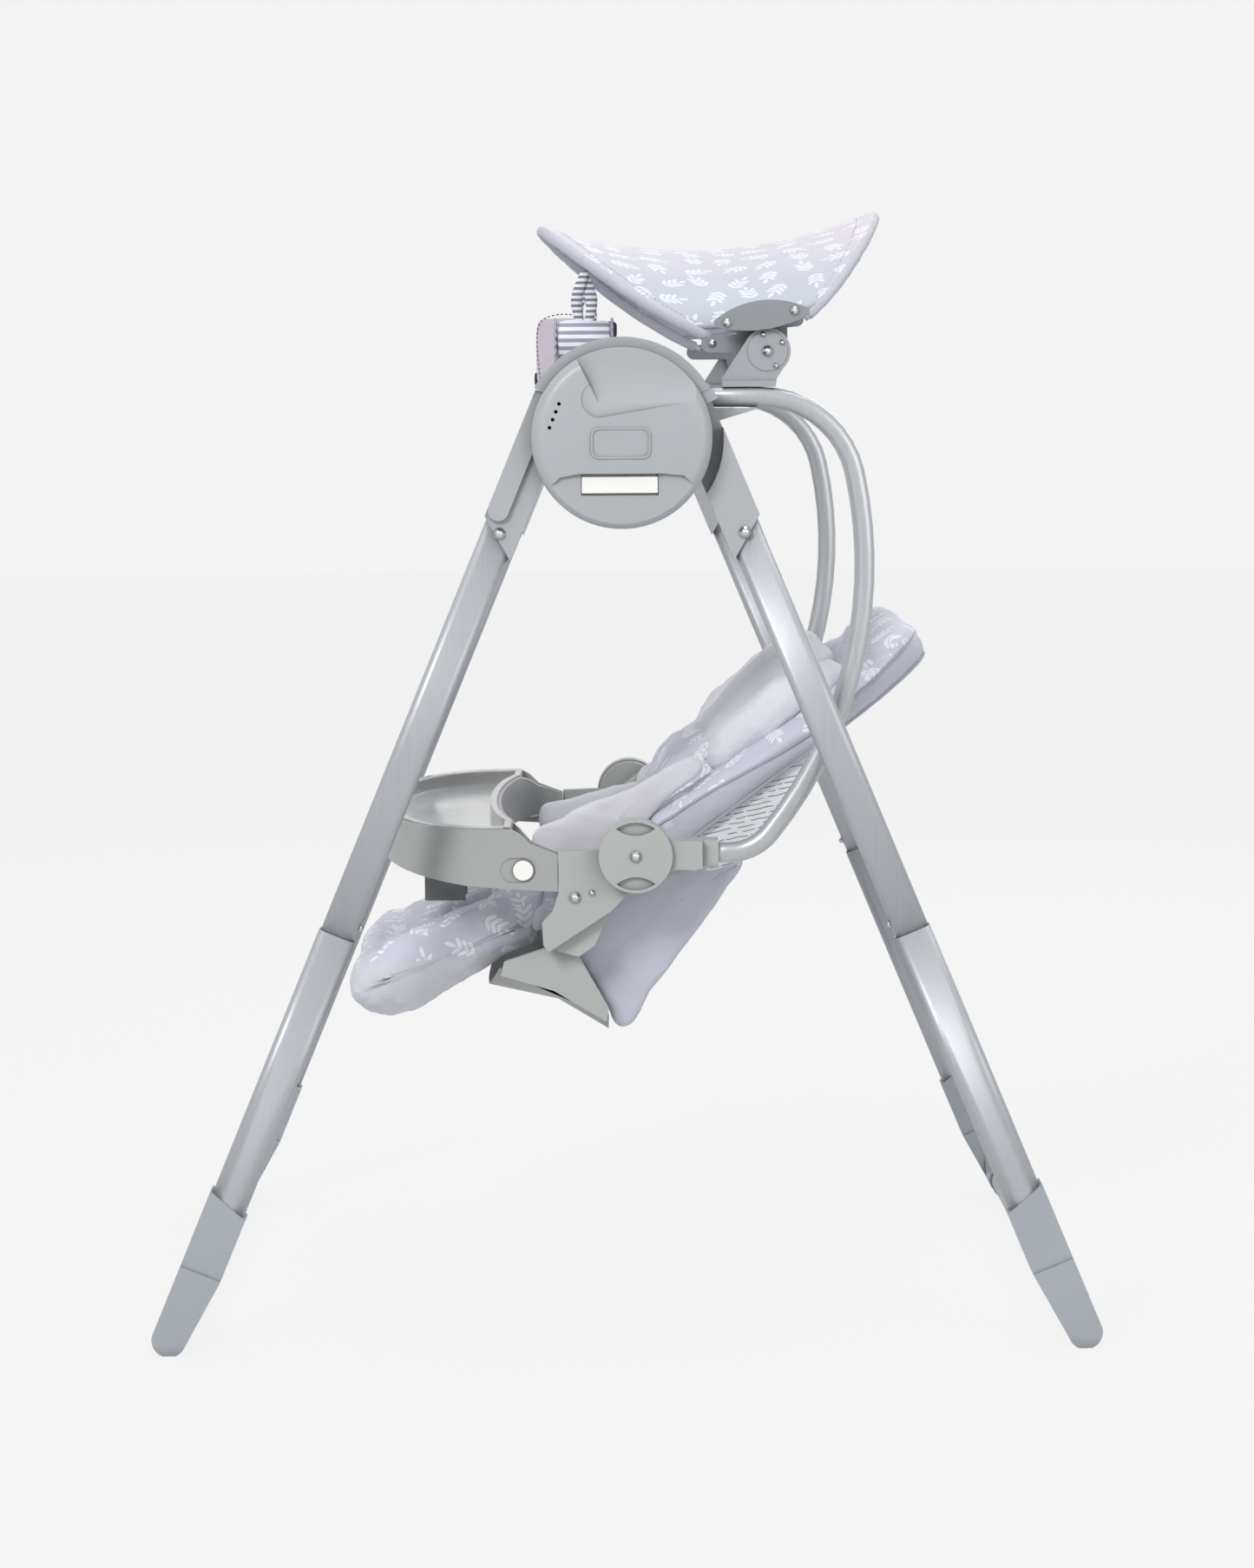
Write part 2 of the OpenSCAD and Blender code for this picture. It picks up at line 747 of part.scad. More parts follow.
// The recline knob: a disc with two finger scallops, the pin that the seat turns on, and the arm's socket.
module recline_knob() {
    disc_out = arm_face - 1;
    disc_in = arm_plane + arm_d / 2 - 3;
    sleeve_half = arm_w / 2 + 4;
    sleeve_y = arm_d / 2 + 3;
    translate([pivot_x, 0, pivot_height]) {
        difference() {
            side_slab(disc_in, disc_out) circle(knob_r);
            for (s = [-1, 1])
                side_slab(disc_out - 4, disc_out + 1) intersection() {
                    translate([0, s * (knob_r + 12)]) circle(26);
                    circle(knob_r - 2.5);
                }
        }
        side_slab(side_in + soft_gap, disc_in + 1) circle(pin_r);
    }
    difference() {
        union() {
            translate([pivot_x, 0, pivot_height]) side_slab(disc_in, disc_out - 5) polygon([
                [12, -sleeve_half - 4], [28, -sleeve_half - 3], [36, -sleeve_half], [knob_r + 26,
                    -sleeve_half],
                [knob_r + 26, sleeve_half], [36, sleeve_half], [28, sleeve_half + 3], [12, sleeve_half + 4]
            ]);
            translate([arm_end - 2, -arm_plane, pivot_height]) rotate([0, 90, 0])
                linear_extrude(82 - arm_end + 2) round_rect(2 * sleeve_half, 2 * sleeve_y, 6);
        }
        translate([arm_end - seat_gap, -arm_plane, pivot_height]) rotate([0, 90, 0])
            linear_extrude(120) round_rect(arm_w + 2 * seat_gap, arm_d + 2 * seat_gap, arm_corner + seat_gap);
    }
}

module arm_fastener_set() {
    translate([pivot_x, 0, pivot_height]) screw(arm_face - 1, 5);
}

// ---------- canopy stand and bracket ----------

stand_in = arm_plane - 8;
stand_out = arm_plane + 7;
hinge_z = hub_height + hinge_rise;
bracket_out = stand_in - free_gap;
bracket_in = bracket_out - 6;
lens_in = stand_out + 3.5;
lens_out = lens_in + 4;

module canopy_stand() {
    top = arm_top_z + arm_w / 2 + 0.1;
    difference() {
        union() {
            side_slab(stand_in, stand_out) {
                polygon([[87, top], [133, top], [134, top + 7], [144, hinge_z - 8], [hinge_x, hinge_z],
                    [hinge_x - 16, hinge_z + 12], [87, top + 7]]);
                translate([hinge_x, hinge_z]) circle(hinge_r);
            }
            side_slab(stand_in - 2, stand_out + 2) translate([87, top]) square([46, 5]);
            side_slab(stand_out, stand_out + 1) translate([hinge_x, hinge_z]) circle(hinge_r - 3);
        }
        side_slab(stand_in - 5, stand_out + 5) translate([hinge_x, hinge_z]) circle(4.05);
    }
}

// The bracket turns on the stand's inner face, and carries the lens-shaped plate over the fabric's edge.
module canopy_bracket() {
    side_slab(bracket_in, bracket_out) {
        translate([hinge_x, hinge_z]) circle(hinge_r - 3);
        pill([77, hinge_z + 6.4], [hinge_x - 6, hinge_z + 6.4], 7.3);
        pill([95, hinge_z + 22], [152, hinge_z + 27], 6);
        translate([100, hinge_z]) square([44, 26]);
    }
    cross_pin(hinge_x, hinge_z, 4, bracket_out - 1, stand_out + 0.8);
    side_slab(bracket_out - 1, lens_in + 1) pill([hinge_x - 24, hinge_z + 27], [hinge_x + 18,
        hinge_z + 29], 2.5);
    side_slab(lens_in, lens_out) lens_outline();
}

// A lens: the overlap of two large circles, tilted a little upwards to the head end.
module lens_outline() {
    translate([hinge_x - 5, hinge_z + 28]) rotate(7) intersection() {
        translate([0, -60]) circle(75);
        translate([0, 104]) circle(114);
        square([82, 60], center = true);
    }
}

module canopy_fastener_set() {
    translate([hinge_x, 0, hinge_z]) {
        screw(stand_out + 1, 4.5);
        for (a = [105, 30, -60])
            rotate([0, -a, 0]) translate([14.5, 0, 0]) screw(stand_out + 1, 2);
    }
}

module canopy_rivets() {
    translate([hinge_x - 35, 0, hinge_z + 24]) screw(lens_out, 3.6);
    translate([hinge_x + 23, 0, hinge_z + 34]) screw(lens_out, 3.6);
    translate([79, 0, hinge_z + 7]) screw(bracket_out, 3.2);
}

// ---------- canopy ----------

// A bow rises from its bracket (height 0) to its top in the middle plane (height 1).
bow_steps = 28;
front_root = [86, hinge_z + 8];
rear_root = [158, hinge_z + 27];

function bow_spread(a) = canopy_half * sin(a);
function bow_lift(a) = pow(cos(a), 0.8);
function front_bow(a) = let (s = bow_lift(a)) [
    front_root[0] - (front_root[0] + front_tip) * (0.75 * s + 0.25 * pow(s, 2.2)),
    bow_spread(a),
    front_root[1] + (front_tip_height - front_root[1]) * (0.5 * s + 0.5 * pow(s, 2.4))];
function rear_bow(a) = let (s = bow_lift(a)) [
    rear_root[0] + (rear_tip - rear_root[0]) * (0.8 * s + 0.2 * s * s),
    bow_spread(a) * 0.985,
    rear_root[1] + (rear_tip_height - rear_root[1]) * (0.45 * s + 0.55 * s * s)];
function unit(v) = v / norm(v);

module bow(rear) {
    sides = 8;
    angles = [for (i = [0:bow_steps]) -89.5 + 179 * i / bow_steps];
    path = [for (a = angles) rear ? rear_bow(a) : front_bow(a)];
    rings = [for (i = [0:bow_steps]) let (
        t = unit(path[min(i + 1, bow_steps)] - path[max(i - 1, 0)]),
        u = unit(cross(t, [1, 0, 0])),
        v = cross(t, u))
        [for (k = [0:sides - 1]) let (b = 360 * k / sides) path[i] + bow_r * (cos(b) * u + sin(b) * v)]];
    swept(rings);
}

// The fabric spans the bows, sags between them, and is a thin closed sheet over both.
module canopy_sheet() {
    across = 22;
    along = 12;
    lift = bow_r + 0.4;
    function sheet_point(i, j, up) = let (
        a = -83 + 166 * i / across,
        t = j / along,
        p = front_bow(a), q = rear_bow(a),
        sag = 4 * t * (1 - t) * fabric_sag * pow(cos(a), 0.8))
        p + (q - p) * t + [0, 0, lift + up - sag];
    under = [for (i = [0:across], j = [0:along]) sheet_point(i, j, 0)];
    over = [for (i = [0:across], j = [0:along]) sheet_point(i, j, fabric_t)];
    n = len(under);
    w = along + 1;
    low = [for (i = [0:across - 1], j = [0:along - 1])
        [i * w + j, (i + 1) * w + j, (i + 1) * w + j + 1, i * w + j + 1]];
    high = [for (f = low) [for (k = [3:-1:0]) f[k] + n]];
    edge = concat(
        [for (j = [0:along]) j], [for (i = [1:across]) i * w + along],
        [for (j = [along - 1:-1:0]) across * w + j], [for (i = [across - 1:-1:1]) i * w]);
    m = len(edge);
    rim = [for (k = [0:m - 1]) [edge[k], edge[(k + 1) % m], edge[(k + 1) % m] + n, edge[k] + n]];
    polyhedron(concat(under, over), concat(low, high, rim), convexity = 10);
}

// ---------- seat ----------

function along_back(d, off) = [
    pivot_x + d * cos(back_angle) - off * sin(back_angle),
    pivot_height + d * sin(back_angle) + off * cos(back_angle)];

// The side plate: its disc turns on the recline pin, and a curved lower edge ends in a tip.
module seat_side() {
    inner = side_in;
    difference() {
        side_slab(inner, side_out) {
            translate([pivot_x, pivot_height]) circle(knob_r - 2);
            polygon([
                [pivot_x - side_front, pivot_height + 2], [pivot_x - 10, pivot_height + 4], [pivot_x,
                    pivot_height - knob_r + 4],
                [pivot_x - 21, pivot_height - 50], [pivot_x - 76, pivot_height - 86], [pivot_x - 81,
                    pivot_height - 80],
                [pivot_x - 82, pivot_height - 60], [pivot_x - 73, pivot_height - 51],
                [pivot_x - side_front, pivot_height - 34]
            ]);
        }
        cross_pin(pivot_x, pivot_height, pin_r + running_gap, inner - 1, side_out + 1);
        tray_tongue(soft_gap - 0.05);
    }
    // the wing that curves in under the plate, and the strap down the edge of the cradle
    side_slab(inner - wing_w, inner + 1) polygon([
        [pivot_x - 76, pivot_height - 85], [pivot_x - 22, pivot_height - 50], [pivot_x - 36,
            pivot_height - 82],
        [pivot_x - 50, pivot_height - 92]
    ]);
    side_slab(inner - wing_w, inner - wing_w + 8) polygon([
        [pivot_x - 76, pivot_height - 85], [pivot_x - 52, pivot_height - 90], [pivot_x - 24,
            pivot_height - 140],
        [pivot_x - 26, pivot_height - 152], [pivot_x - 72, pivot_height - 124],
        [pivot_x - 119, pivot_height - 110], [pivot_x - 116, pivot_height - 98]
    ]);
    // the lug that holds the foot of the backrest tube
    intersection() {
        side_slab(back_half - back_tube_r + 0.2, inner) translate([pivot_x, pivot_height]) circle(knob_r - 4);
        cross_lug();
    }
}

module cross_lug() {
    difference() {
        translate([pivot_x, 0, pivot_height]) rotate([0, -back_angle, 0])
            translate([0, -leg_plane, -back_tube_r - 3]) cube([40, 2 * leg_plane, 2 * back_tube_r + 6]);
        back_loop(back_tube_r + seat_gap);
    }
}

// The backrest tube: up one side, around the head and down the other side.
module back_loop(r) {
    start = 8;
    translate([pivot_x, 0, pivot_height]) rotate([0, -back_angle, 0]) {
        for (s = [-1, 1]) {
            translate([start, s * back_half, 0]) rotate([0, 90, 0]) cylinder(r = r,
                h = back_len - back_bend - start);
            translate([back_len - back_bend, s * (back_half - back_bend), 0])
                rotate([0, 0, s > 0 ? 0 : -90]) rotate_extrude(angle = 90) translate([back_bend, 0])
                    circle(r);
        }
        translate([back_len, 0, 0]) rotate([90, 0, 0])
            cylinder(r = r, h = 2 * (back_half - back_bend), center = true);
    }
}

// The plastic cradle under the seat, hung between the wings: a trough that dips towards the rear.
module seat_shell() {
    half = side_in - wing_w - soft_gap;
    drop = 40;
    steps = 16;
    function rail(y, x, z, t) = [x, y, z - drop * (1 - pow(y / half, 2)) - t];
    function front(y) = pivot_x - 136 + 16 * pow(y / half, 2);
    rings = [for (i = [0:steps]) let (y = -half + 2 * half * i / steps) [
        rail(y, front(y), pivot_height - 104, shell_t), rail(y, pivot_x - 70, pivot_height - 118, shell_t),
        rail(y, pivot_x - 24, pivot_height - 146, shell_t), rail(y, pivot_x - 24, pivot_height - 146, 0),
        rail(y, pivot_x - 70, pivot_height - 118, 0), rail(y, front(y), pivot_height - 104, 0)]];
    swept(rings);
}

module pad_slab(half) {
    translate([0, half, 0]) rotate([90, 0, 0]) linear_extrude(2 * half) children();
}

// The main cushion: a backrest slab inside the tube and a seat slab down to the cradle.
module seat_pad() {
    under = back_tube_r - 2;
    half = back_half - back_tube_r - soft_gap;
    round_r = back_bend - back_tube_r - soft_gap;
    intersection() {
        pad_slab(half) polygon([
            along_back(30, -under), along_back(back_len - 25, -under), along_back(back_len - 12, 4),
            along_back(back_len - 20, 34), along_back(back_len - 60, 36), along_back(70, 32),
            [pivot_x - 4, pivot_height - 58], [pivot_x - 88 + soft_gap, pivot_height - 61],
            [pivot_x - 88 + soft_gap, pivot_height - 84],
            [pivot_x + 8, pivot_height - 88]
        ]);
        translate([pivot_x, 0, pivot_height]) rotate([0, -back_angle, 0]) translate([0, 0, -200])
            linear_extrude(300) {
            translate([-200, -half]) square([200 + back_len - back_bend, 2 * half]);
            translate([0, -half + round_r]) square([back_len - back_tube_r - soft_gap, 2 * (half - round_r)]);
            for (s = [-1, 1])
                translate([back_len - back_bend, s * (half - round_r)]) circle(round_r);
        }
    }
}

// The inner cushion for a small baby, lying on the main one.
module insert_pad() {
    base = 36 + soft_gap;
    pad_slab(insert_half) polygon([
        along_back(72, base), along_back(230, base), along_back(240, base + 12),
        along_back(228, base + insert_t), along_back(90, base + insert_t - 4),
        [pivot_x - 4, pivot_height - 22], [pivot_x - 58, pivot_height - 30], [pivot_x - 60,
            pivot_height - 59],
        [pivot_x - 5, pivot_height - 57.4]
    ]);
}

// The leg rest slopes down to its rounded front end, with a channel that the tray's crotch post passes along.
module legrest_pad() {
    difference() {
        legrest_block();
        translate([pivot_x - 400, -post_w / 2 - 3, post_floor - 3]) cube([245, post_w + 6, 100]);
    }
}

module legrest_block() {
    pad_slab(legrest_half) {
        polygon([
            [pivot_x - 88, pivot_height - 42], [pivot_x - 140, pivot_height - 48], [pivot_x - 186,
                pivot_height - 66],
            [pivot_x - 226, pivot_height - 90], [pivot_x - 236, pivot_height - 160],
            [pivot_x - 200, pivot_height - 160], [pivot_x - 150, pivot_height - 128], [pivot_x - 88,
                pivot_height - 90]
        ]);
        translate([pivot_x - 224, pivot_height - 124]) circle(33);
    }
}

// The fabric skirt behind and under the seat: a pocket that is open towards the cushion.
module seat_skirt() {
    half = side_in - wing_w - 2 * soft_gap;
    difference() {
        pad_slab(half) skirt_outline(0);
        pad_slab(half - 3) skirt_outline(3);
    }
}

module skirt_outline(wall) {
    polygon([
        [pivot_x - 24 + soft_gap + wall, pivot_height - 150 + wall], [pivot_x - 8,
            pivot_height - 162 + 1.6 * wall],
        [pivot_x + 7 - wall, pivot_height - 152 + wall], [pivot_x + 12 - wall, pivot_height - 134],
        [pivot_x + 33 - wall, pivot_height - 107], [pivot_x + 57 - wall, pivot_height - 76],
        [pivot_x + 98 - 2 * wall, pivot_height - 17], [pivot_x + 88 - 2 * wall, pivot_height - 12 + 5 * wall],
        [pivot_x + 12 + wall, pivot_height - 92 + 4 * wall], [pivot_x - 24 + soft_gap + wall,
            pivot_height - 96 + 4 * wall]
    ]);
}

// Crotch and waist straps with their buckle, lying on the inner cushion.
module harness() {
    slope = atan2(8, 54);
    translate([pivot_x - 58, 0, pivot_height - 30]) rotate([0, -slope, 0]) {
        for (s = [-1, 1])
            translate([12, s * 40 - 19, soft_gap]) cube([26, 38, 2.2]);
        translate([8, -21, soft_gap]) cube([36, 42, 11]);
    }
}

module seat_fastener_set() {
    translate([pivot_x - 53, 0, pivot_height - 38]) screw(side_out, 5);
    translate([pivot_x - 38, 0, pivot_height - 34]) screw(side_out, 2.4);
}

// ---------- tray bar ----------

post_x = 37 - bar_reach;
post_w = 48;
post_floor = pivot_height - 72;

// Plan of the bar: straight sides that close in a half ellipse at the front.
module bar_plan(inset) {
    reach = bar_reach + bend_x - inset;
    half = bar_half - inset;
    steps = 24;
    polygon(concat(
        [[bar_rear, -half]],
        [for (i = [0:steps]) let (a = -90 + 180 * i / steps)
            [bend_x - reach * pow(cos(a), 0.8), half * sign(sin(a)) * pow(abs(sin(a)), 0.8)]],
        [[bar_rear, half]]));
}

// Side view of the bar: it deepens and rises from the seat's side plates to the deck.
module bar_profile(top) {
    polygon([
        [bar_rear, pivot_height - 33], [bar_rear, pivot_height], [bar_rear - 24, pivot_height + 9],
        [bar_rear - 33, top - 4], [deck_end, top], [-bar_reach - 20, top],
        [-bar_reach - 20, pivot_height - 15], [bar_rear - 80, pivot_height - 28]
    ]);
}

// Plan of the hollow at the baby's belly, behind the deck, as a squarish half ellipse.
module belly_plan(grow) {
    reach = belly_reach + grow;
    half = bar_half - side_w + 2 + grow;
    polygon(concat(
        [[bar_rear + 60, -half]],
        [for (i = [0:20]) let (a = -90 + 9 * i) [bar_rear + 25 - reach * sqrt(cos(a)), half * sin(a)]],
        [[bar_rear + 60, half]]));
}

// Plan of the clear dish: the deck between the front wall and the belly hollow, less a rim.
module dish_plan(rim) {
    difference() {
        bar_plan(bar_wall + rim);
        belly_plan(bar_wall + rim);
        translate([deck_end - rim, -leg_plane]) square([300, 2 * leg_plane]);
    }
}

module bar_rise(height) {
    translate([0, 0, height]) linear_extrude(100) children();
}

// The outer wall, which follows the plan, and the wall round the belly hollow, shaped by the side view.
module tray_walls() {
    intersection() {
        bar_rise(bar_floor - 20) difference() {
            bar_plan(0);
            bar_plan(bar_wall);
        }
        pad_slab(leg_plane) bar_profile(deck_height);
    }
    intersection() {
        bar_rise(lip_floor) difference() {
            intersection() {
                bar_plan(bar_wall - 1);
                belly_plan(bar_wall);
            }
            belly_plan(0);
        }
        pad_slab(leg_plane) bar_profile(deck_height - 1);
    }
}

// The deck, with a hole that the dish drops into.
module tray_deck() {
    linear_z(deck_height - bar_wall, bar_wall) difference() {
        bar_plan(1);
        belly_plan(0);
        translate([deck_end, -leg_plane]) square([300, 2 * leg_plane]);
        dish_plan(rim_w);
    }
}

module linear_z(from, height) {
    translate([0, 0, from]) linear_extrude(height) children();
}

// The tongue at the end of a side rail, that slides into a slot of the seat's side plate.
module tray_tongue(grow) {
    mid = (side_in + side_out) / 2;
    translate([bar_rear - 2, -mid - tongue_t / 2 - grow, pivot_height - 26 - grow])
        cube([tongue_len + 2 + grow, tongue_t + 2 * grow, 18 + 2 * grow]);
}

module tray_bar() {
    difference() {
        union() {
            tray_walls();
            tray_deck();
            crotch_post();
            for (s = [-1, 1])
                translate([bar_rear - 3, s * (bar_half - side_w / 2) - side_w / 2, pivot_height - 30])
                    cube([3, side_w, 26]);
            tray_tongue(0);
            to_right() tray_tongue(0);
        }
        for (s = [-1, 1])
            translate([button_x, s * bar_half, button_z]) rotate([90, 0, 0]) {
                cylinder(r = button_r + 0.4, h = 2 * bar_wall + 4, center = true);
                linear_extrude(2 * button_recess, center = true) pill([-9, 0], [0, 0], button_r + 2);
            }
    }
}

// The post that keeps the baby from sliding out, hung from two ribs behind the front wall.
module crotch_post() {
    rib_top = deck_height - dish_depth - 0.5;
    translate([post_x, -post_w / 2, post_floor]) cube([4, post_w, rib_top - post_floor]);
    for (s = [-1, 1]) {
        translate([post_x, s * (post_w / 2 - 2) - 2, post_floor]) cube([38, 4, rib_top - post_floor]);
        translate([-bar_reach + 2, s * (post_w / 2 - 2) - 2, bar_floor + 18])
            cube([post_x + bar_reach, 4, rib_top - bar_floor - 18]);
    }
}

// The clear dish: a basin whose flange lies on the deck round its hole.
module tray_dish() {
    wall = 2;
    linear_z(deck_height - dish_depth, dish_depth + wall) difference() {
        dish_plan(rim_w + soft_gap);
        dish_plan(rim_w + soft_gap + wall);
    }
    linear_z(deck_height - dish_depth, wall) dish_plan(rim_w + soft_gap + 1);
    linear_z(deck_height + 0.2, wall - 0.2) difference() {
        dish_plan(1);
        dish_plan(rim_w + 1);
    }
}

module tray_button() {
    out = bar_half + 1.2;
    cross_pin(button_x, button_z, button_r, bar_half - bar_wall - 2, out);
    cross_pin(button_x, button_z, button_r + 2.5, bar_half - bar_wall - 4.2, bar_half - bar_wall - 0.3);
}

// ---------- toys ----------

// Both toys hang under the front bow, at the same place on either side of its top.
toy_point = front_bow(toy_angle);
loop_drop = 40;
loop_r = 12;
loop_t = 3;
loop_w = 12;
bow_step = front_bow(toy_angle + 2) - front_bow(toy_angle - 2);
bow_slope = -bow_step[2] / bow_step[1];
loop_top = -bow_r * sqrt(1 + bow_slope * bow_slope) - loop_w / 2 * bow_slope;

// A flat fabric loop under the bow, seen from the side.
module toy_loop() {
    translate([toy_point[0], -toy_point[1] + loop_w / 2, toy_point[2]]) rotate([90, 0, 0])
        linear_extrude(loop_w) difference() {
            pill([0, loop_top - loop_r], [0, -loop_drop], loop_r);
            pill([0, loop_top - loop_r], [0, -loop_drop], loop_r - loop_t);
        }
}

module ring_toy() {
    roller_z = toy_point[2] - loop_drop - loop_r - roller_r + 1;
    toy_loop();
    translate([toy_point[0] - 24, -toy_point[1], roller_z]) rotate([0, 90, 0]) cylinder(r = roller_r, h = 48);
    translate([toy_point[0] - 28, -toy_point[1], roller_z]) rotate([0, 90, 0])
        cylinder(r = roller_r + 2, h = 4.5);
}

module cloth_book() {
    book_top = toy_point[2] - loop_drop - loop_r + 2;
    to_right() {
        toy_loop();
        translate([toy_point[0] - 40, -toy_point[1] - 7, book_top - book_h]) cube([46, 14, book_h]);
        translate([toy_point[0] + 5.5, -toy_point[1] - 3, book_top - 22]) cube([26, 6, 18]);
        translate([toy_point[0] - 50, -toy_point[1] - 3, book_top - book_h + 2]) cube([11, 6, 14]);
    }
}

// ---------- nodes ----------

module front_tube_left() { color(metal) upper_leg(); }
module front_tube_right() { to_right() front_tube_left(); }
module front_base_tube() { color(metal) base_tube(); }
module front_foot_left() { color(plastic) boot(); }
module front_foot_right() { to_right() front_foot_left(); }
module hub_housing_left() { color(plastic) hub_housing(); }
module hub_housing_right() { to_right() hub_housing_left(); }
module hub_cover_left() { color(plastic) hub_cover(); }
module hub_cover_right() { to_right() hub_cover_left(); }
module shaft_bushing_left() { color(white) shaft_bushing(); }
module shaft_bushing_right() { to_right() shaft_bushing_left(); }
module front_fasteners() {
    color(chrome) leg_fasteners();
    to_right() color(chrome) leg_fasteners();
}
module release_lever_left() { color(white) lever(); }
module release_lever_right() { to_right() release_lever_left(); }
module lever_spring_left() { color(chrome) lever_spring(); }
module lever_spring_right() { to_right() lever_spring_left(); }
module rear_socket_left() { color(plastic) rear_socket(); }
module rear_socket_right() { to_right() rear_socket_left(); }
module rear_tube_left() { mirror([1, 0, 0]) front_tube_left(); }
module rear_tube_right() { to_right() rear_tube_left(); }
module rear_base_tube() { mirror([1, 0, 0]) front_base_tube(); }
module rear_foot_left() { mirror([1, 0, 0]) front_foot_left(); }
module rear_foot_right() { to_right() rear_foot_left(); }
module rear_fasteners() { mirror([1, 0, 0]) front_fasteners(); }
module swing_shaft_left() { color(chrome) swing_shaft(); }
module swing_shaft_right() { to_right() swing_shaft_left(); }
module arm_hub_left() { color(plastic) arm_hub(); }
module arm_hub_right() { to_right() arm_hub_left(); }
module arm_tube_left() { color(metal) arm_tube(); }
module arm_tube_right() { to_right() arm_tube_left(); }
module recline_knob_left() { color(seat_plastic) recline_knob(); }
module recline_knob_right() { to_right() recline_knob_left(); }
module arm_fasteners() {
    color(chrome) arm_fastener_set();
    to_right() color(chrome) arm_fastener_set();
    color(chrome) canopy_fastener_set();
    to_right() color(chrome) canopy_fastener_set();
}
module canopy_stand_left() { color(plastic) canopy_stand(); }
module canopy_stand_right() { to_right() canopy_stand_left(); }
module seat_side_left() { color(seat_plastic) seat_side(); }
module seat_side_right() { to_right() seat_side_left(); }
module seat_fasteners() {
    color(chrome) seat_fastener_set();
    to_right() color(chrome) seat_fastener_set();
}
module tray_button_left() { color(white) tray_button(); }
module tray_button_right() { to_right() tray_button_left(); }
module canopy_bracket_left() { color(plastic) canopy_bracket(); }
module canopy_bracket_right() { to_right() canopy_bracket_left(); }
module canopy_bows() {
    color(metal) bow(false);
    color(metal) bow(true);
}
module canopy_fasteners() {
    color(chrome) canopy_rivets();
    to_right() color(chrome) canopy_rivets();
}

front_tube_left();
front_tube_right();
front_base_tube();
front_foot_left();
front_foot_right();
hub_housing_left();
hub_housing_right();
hub_cover_left();
hub_cover_right();
shaft_bushing_left();
shaft_bushing_right();
color("peru") drive_coil();
color("dimgray") battery_cells();
front_fasteners();
release_lever_left();
release_lever_right();
lever_spring_left();
lever_spring_right();
rear_socket_left();
rear_socket_right();
rear_tube_left();
rear_tube_right();
rear_base_tube();
rear_foot_left();
rear_foot_right();
rear_fasteners();
swing_shaft_left();
swing_shaft_right();
arm_hub_left();
arm_hub_right();
arm_tube_left();
arm_tube_right();
recline_knob_left();
recline_knob_right();
arm_fasteners();
color("gray") drive_magnet();
canopy_stand_left();
canopy_stand_right();
seat_side_left();
seat_side_right();
color(seat_plastic) seat_shell();
color(metal) back_loop(back_tube_r);  // back_tube
color(lilac) seat_pad();
color("lavender") insert_pad();
color(lilac) legrest_pad();
color(lilac) seat_skirt();
color("gainsboro") harness();
seat_fasteners();
color(seat_plastic) tray_bar();
color("azure") tray_dish();
tray_button_left();
tray_button_right();
canopy_bracket_left();
canopy_bracket_right();
canopy_bows();
color(lilac) canopy_sheet();  // canopy_fabric
canopy_fasteners();
color("lightsteelblue") ring_toy();
color("thistle") cloth_book();
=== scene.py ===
import bpy
import bmesh
import math
from mathutils import Matrix, Vector
from mathutils import noise as mnoise


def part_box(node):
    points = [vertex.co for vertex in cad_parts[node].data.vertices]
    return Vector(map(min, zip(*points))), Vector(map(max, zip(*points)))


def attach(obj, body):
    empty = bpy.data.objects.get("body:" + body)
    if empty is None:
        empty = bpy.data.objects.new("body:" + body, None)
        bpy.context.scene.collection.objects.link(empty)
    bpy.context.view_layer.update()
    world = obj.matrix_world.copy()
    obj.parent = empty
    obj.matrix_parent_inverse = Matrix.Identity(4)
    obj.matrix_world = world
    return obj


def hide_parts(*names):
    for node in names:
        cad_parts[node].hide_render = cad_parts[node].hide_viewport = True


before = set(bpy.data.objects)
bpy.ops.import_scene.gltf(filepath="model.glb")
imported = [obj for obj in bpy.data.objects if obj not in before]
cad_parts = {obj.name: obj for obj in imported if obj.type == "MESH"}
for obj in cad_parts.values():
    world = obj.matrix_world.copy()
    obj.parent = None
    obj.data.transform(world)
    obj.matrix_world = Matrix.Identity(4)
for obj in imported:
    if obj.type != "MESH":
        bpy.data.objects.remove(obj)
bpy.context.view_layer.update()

# ---------- camera: solved from points of the photograph ----------
IMAGE_HEIGHT = 1807
FOCAL_PIXELS = 4019.51
SENSOR = 36.0
CAMERA_AT = Vector((-0.0239, -3.265, 0.8187))
yaw, pitch, roll = 0.0089385, 0.1082324, -0.0067014
fwd = Vector((math.sin(yaw) * math.cos(pitch), math.cos(yaw) * math.cos(pitch), -math.sin(pitch)))
right = Vector((math.cos(yaw), -math.sin(yaw), 0.0))
up = right.cross(fwd)
right2 = right * math.cos(roll) + up * math.sin(roll)
up2 = up * math.cos(roll) - right * math.sin(roll)
cam_data = bpy.data.cameras.new("camera")
cam_data.sensor_fit = "VERTICAL"
cam_data.sensor_height = SENSOR
cam_data.lens = FOCAL_PIXELS * SENSOR / IMAGE_HEIGHT
cam_data.clip_end = 60.0
cam = bpy.data.objects.new("camera", cam_data)
bpy.context.scene.collection.objects.link(cam)
m = Matrix((right2, up2, -fwd)).transposed().to_4x4()
m.translation = CAMERA_AT
cam.matrix_world = m
bpy.context.scene.camera = cam
bpy.context.scene.view_settings.view_transform = "Standard"


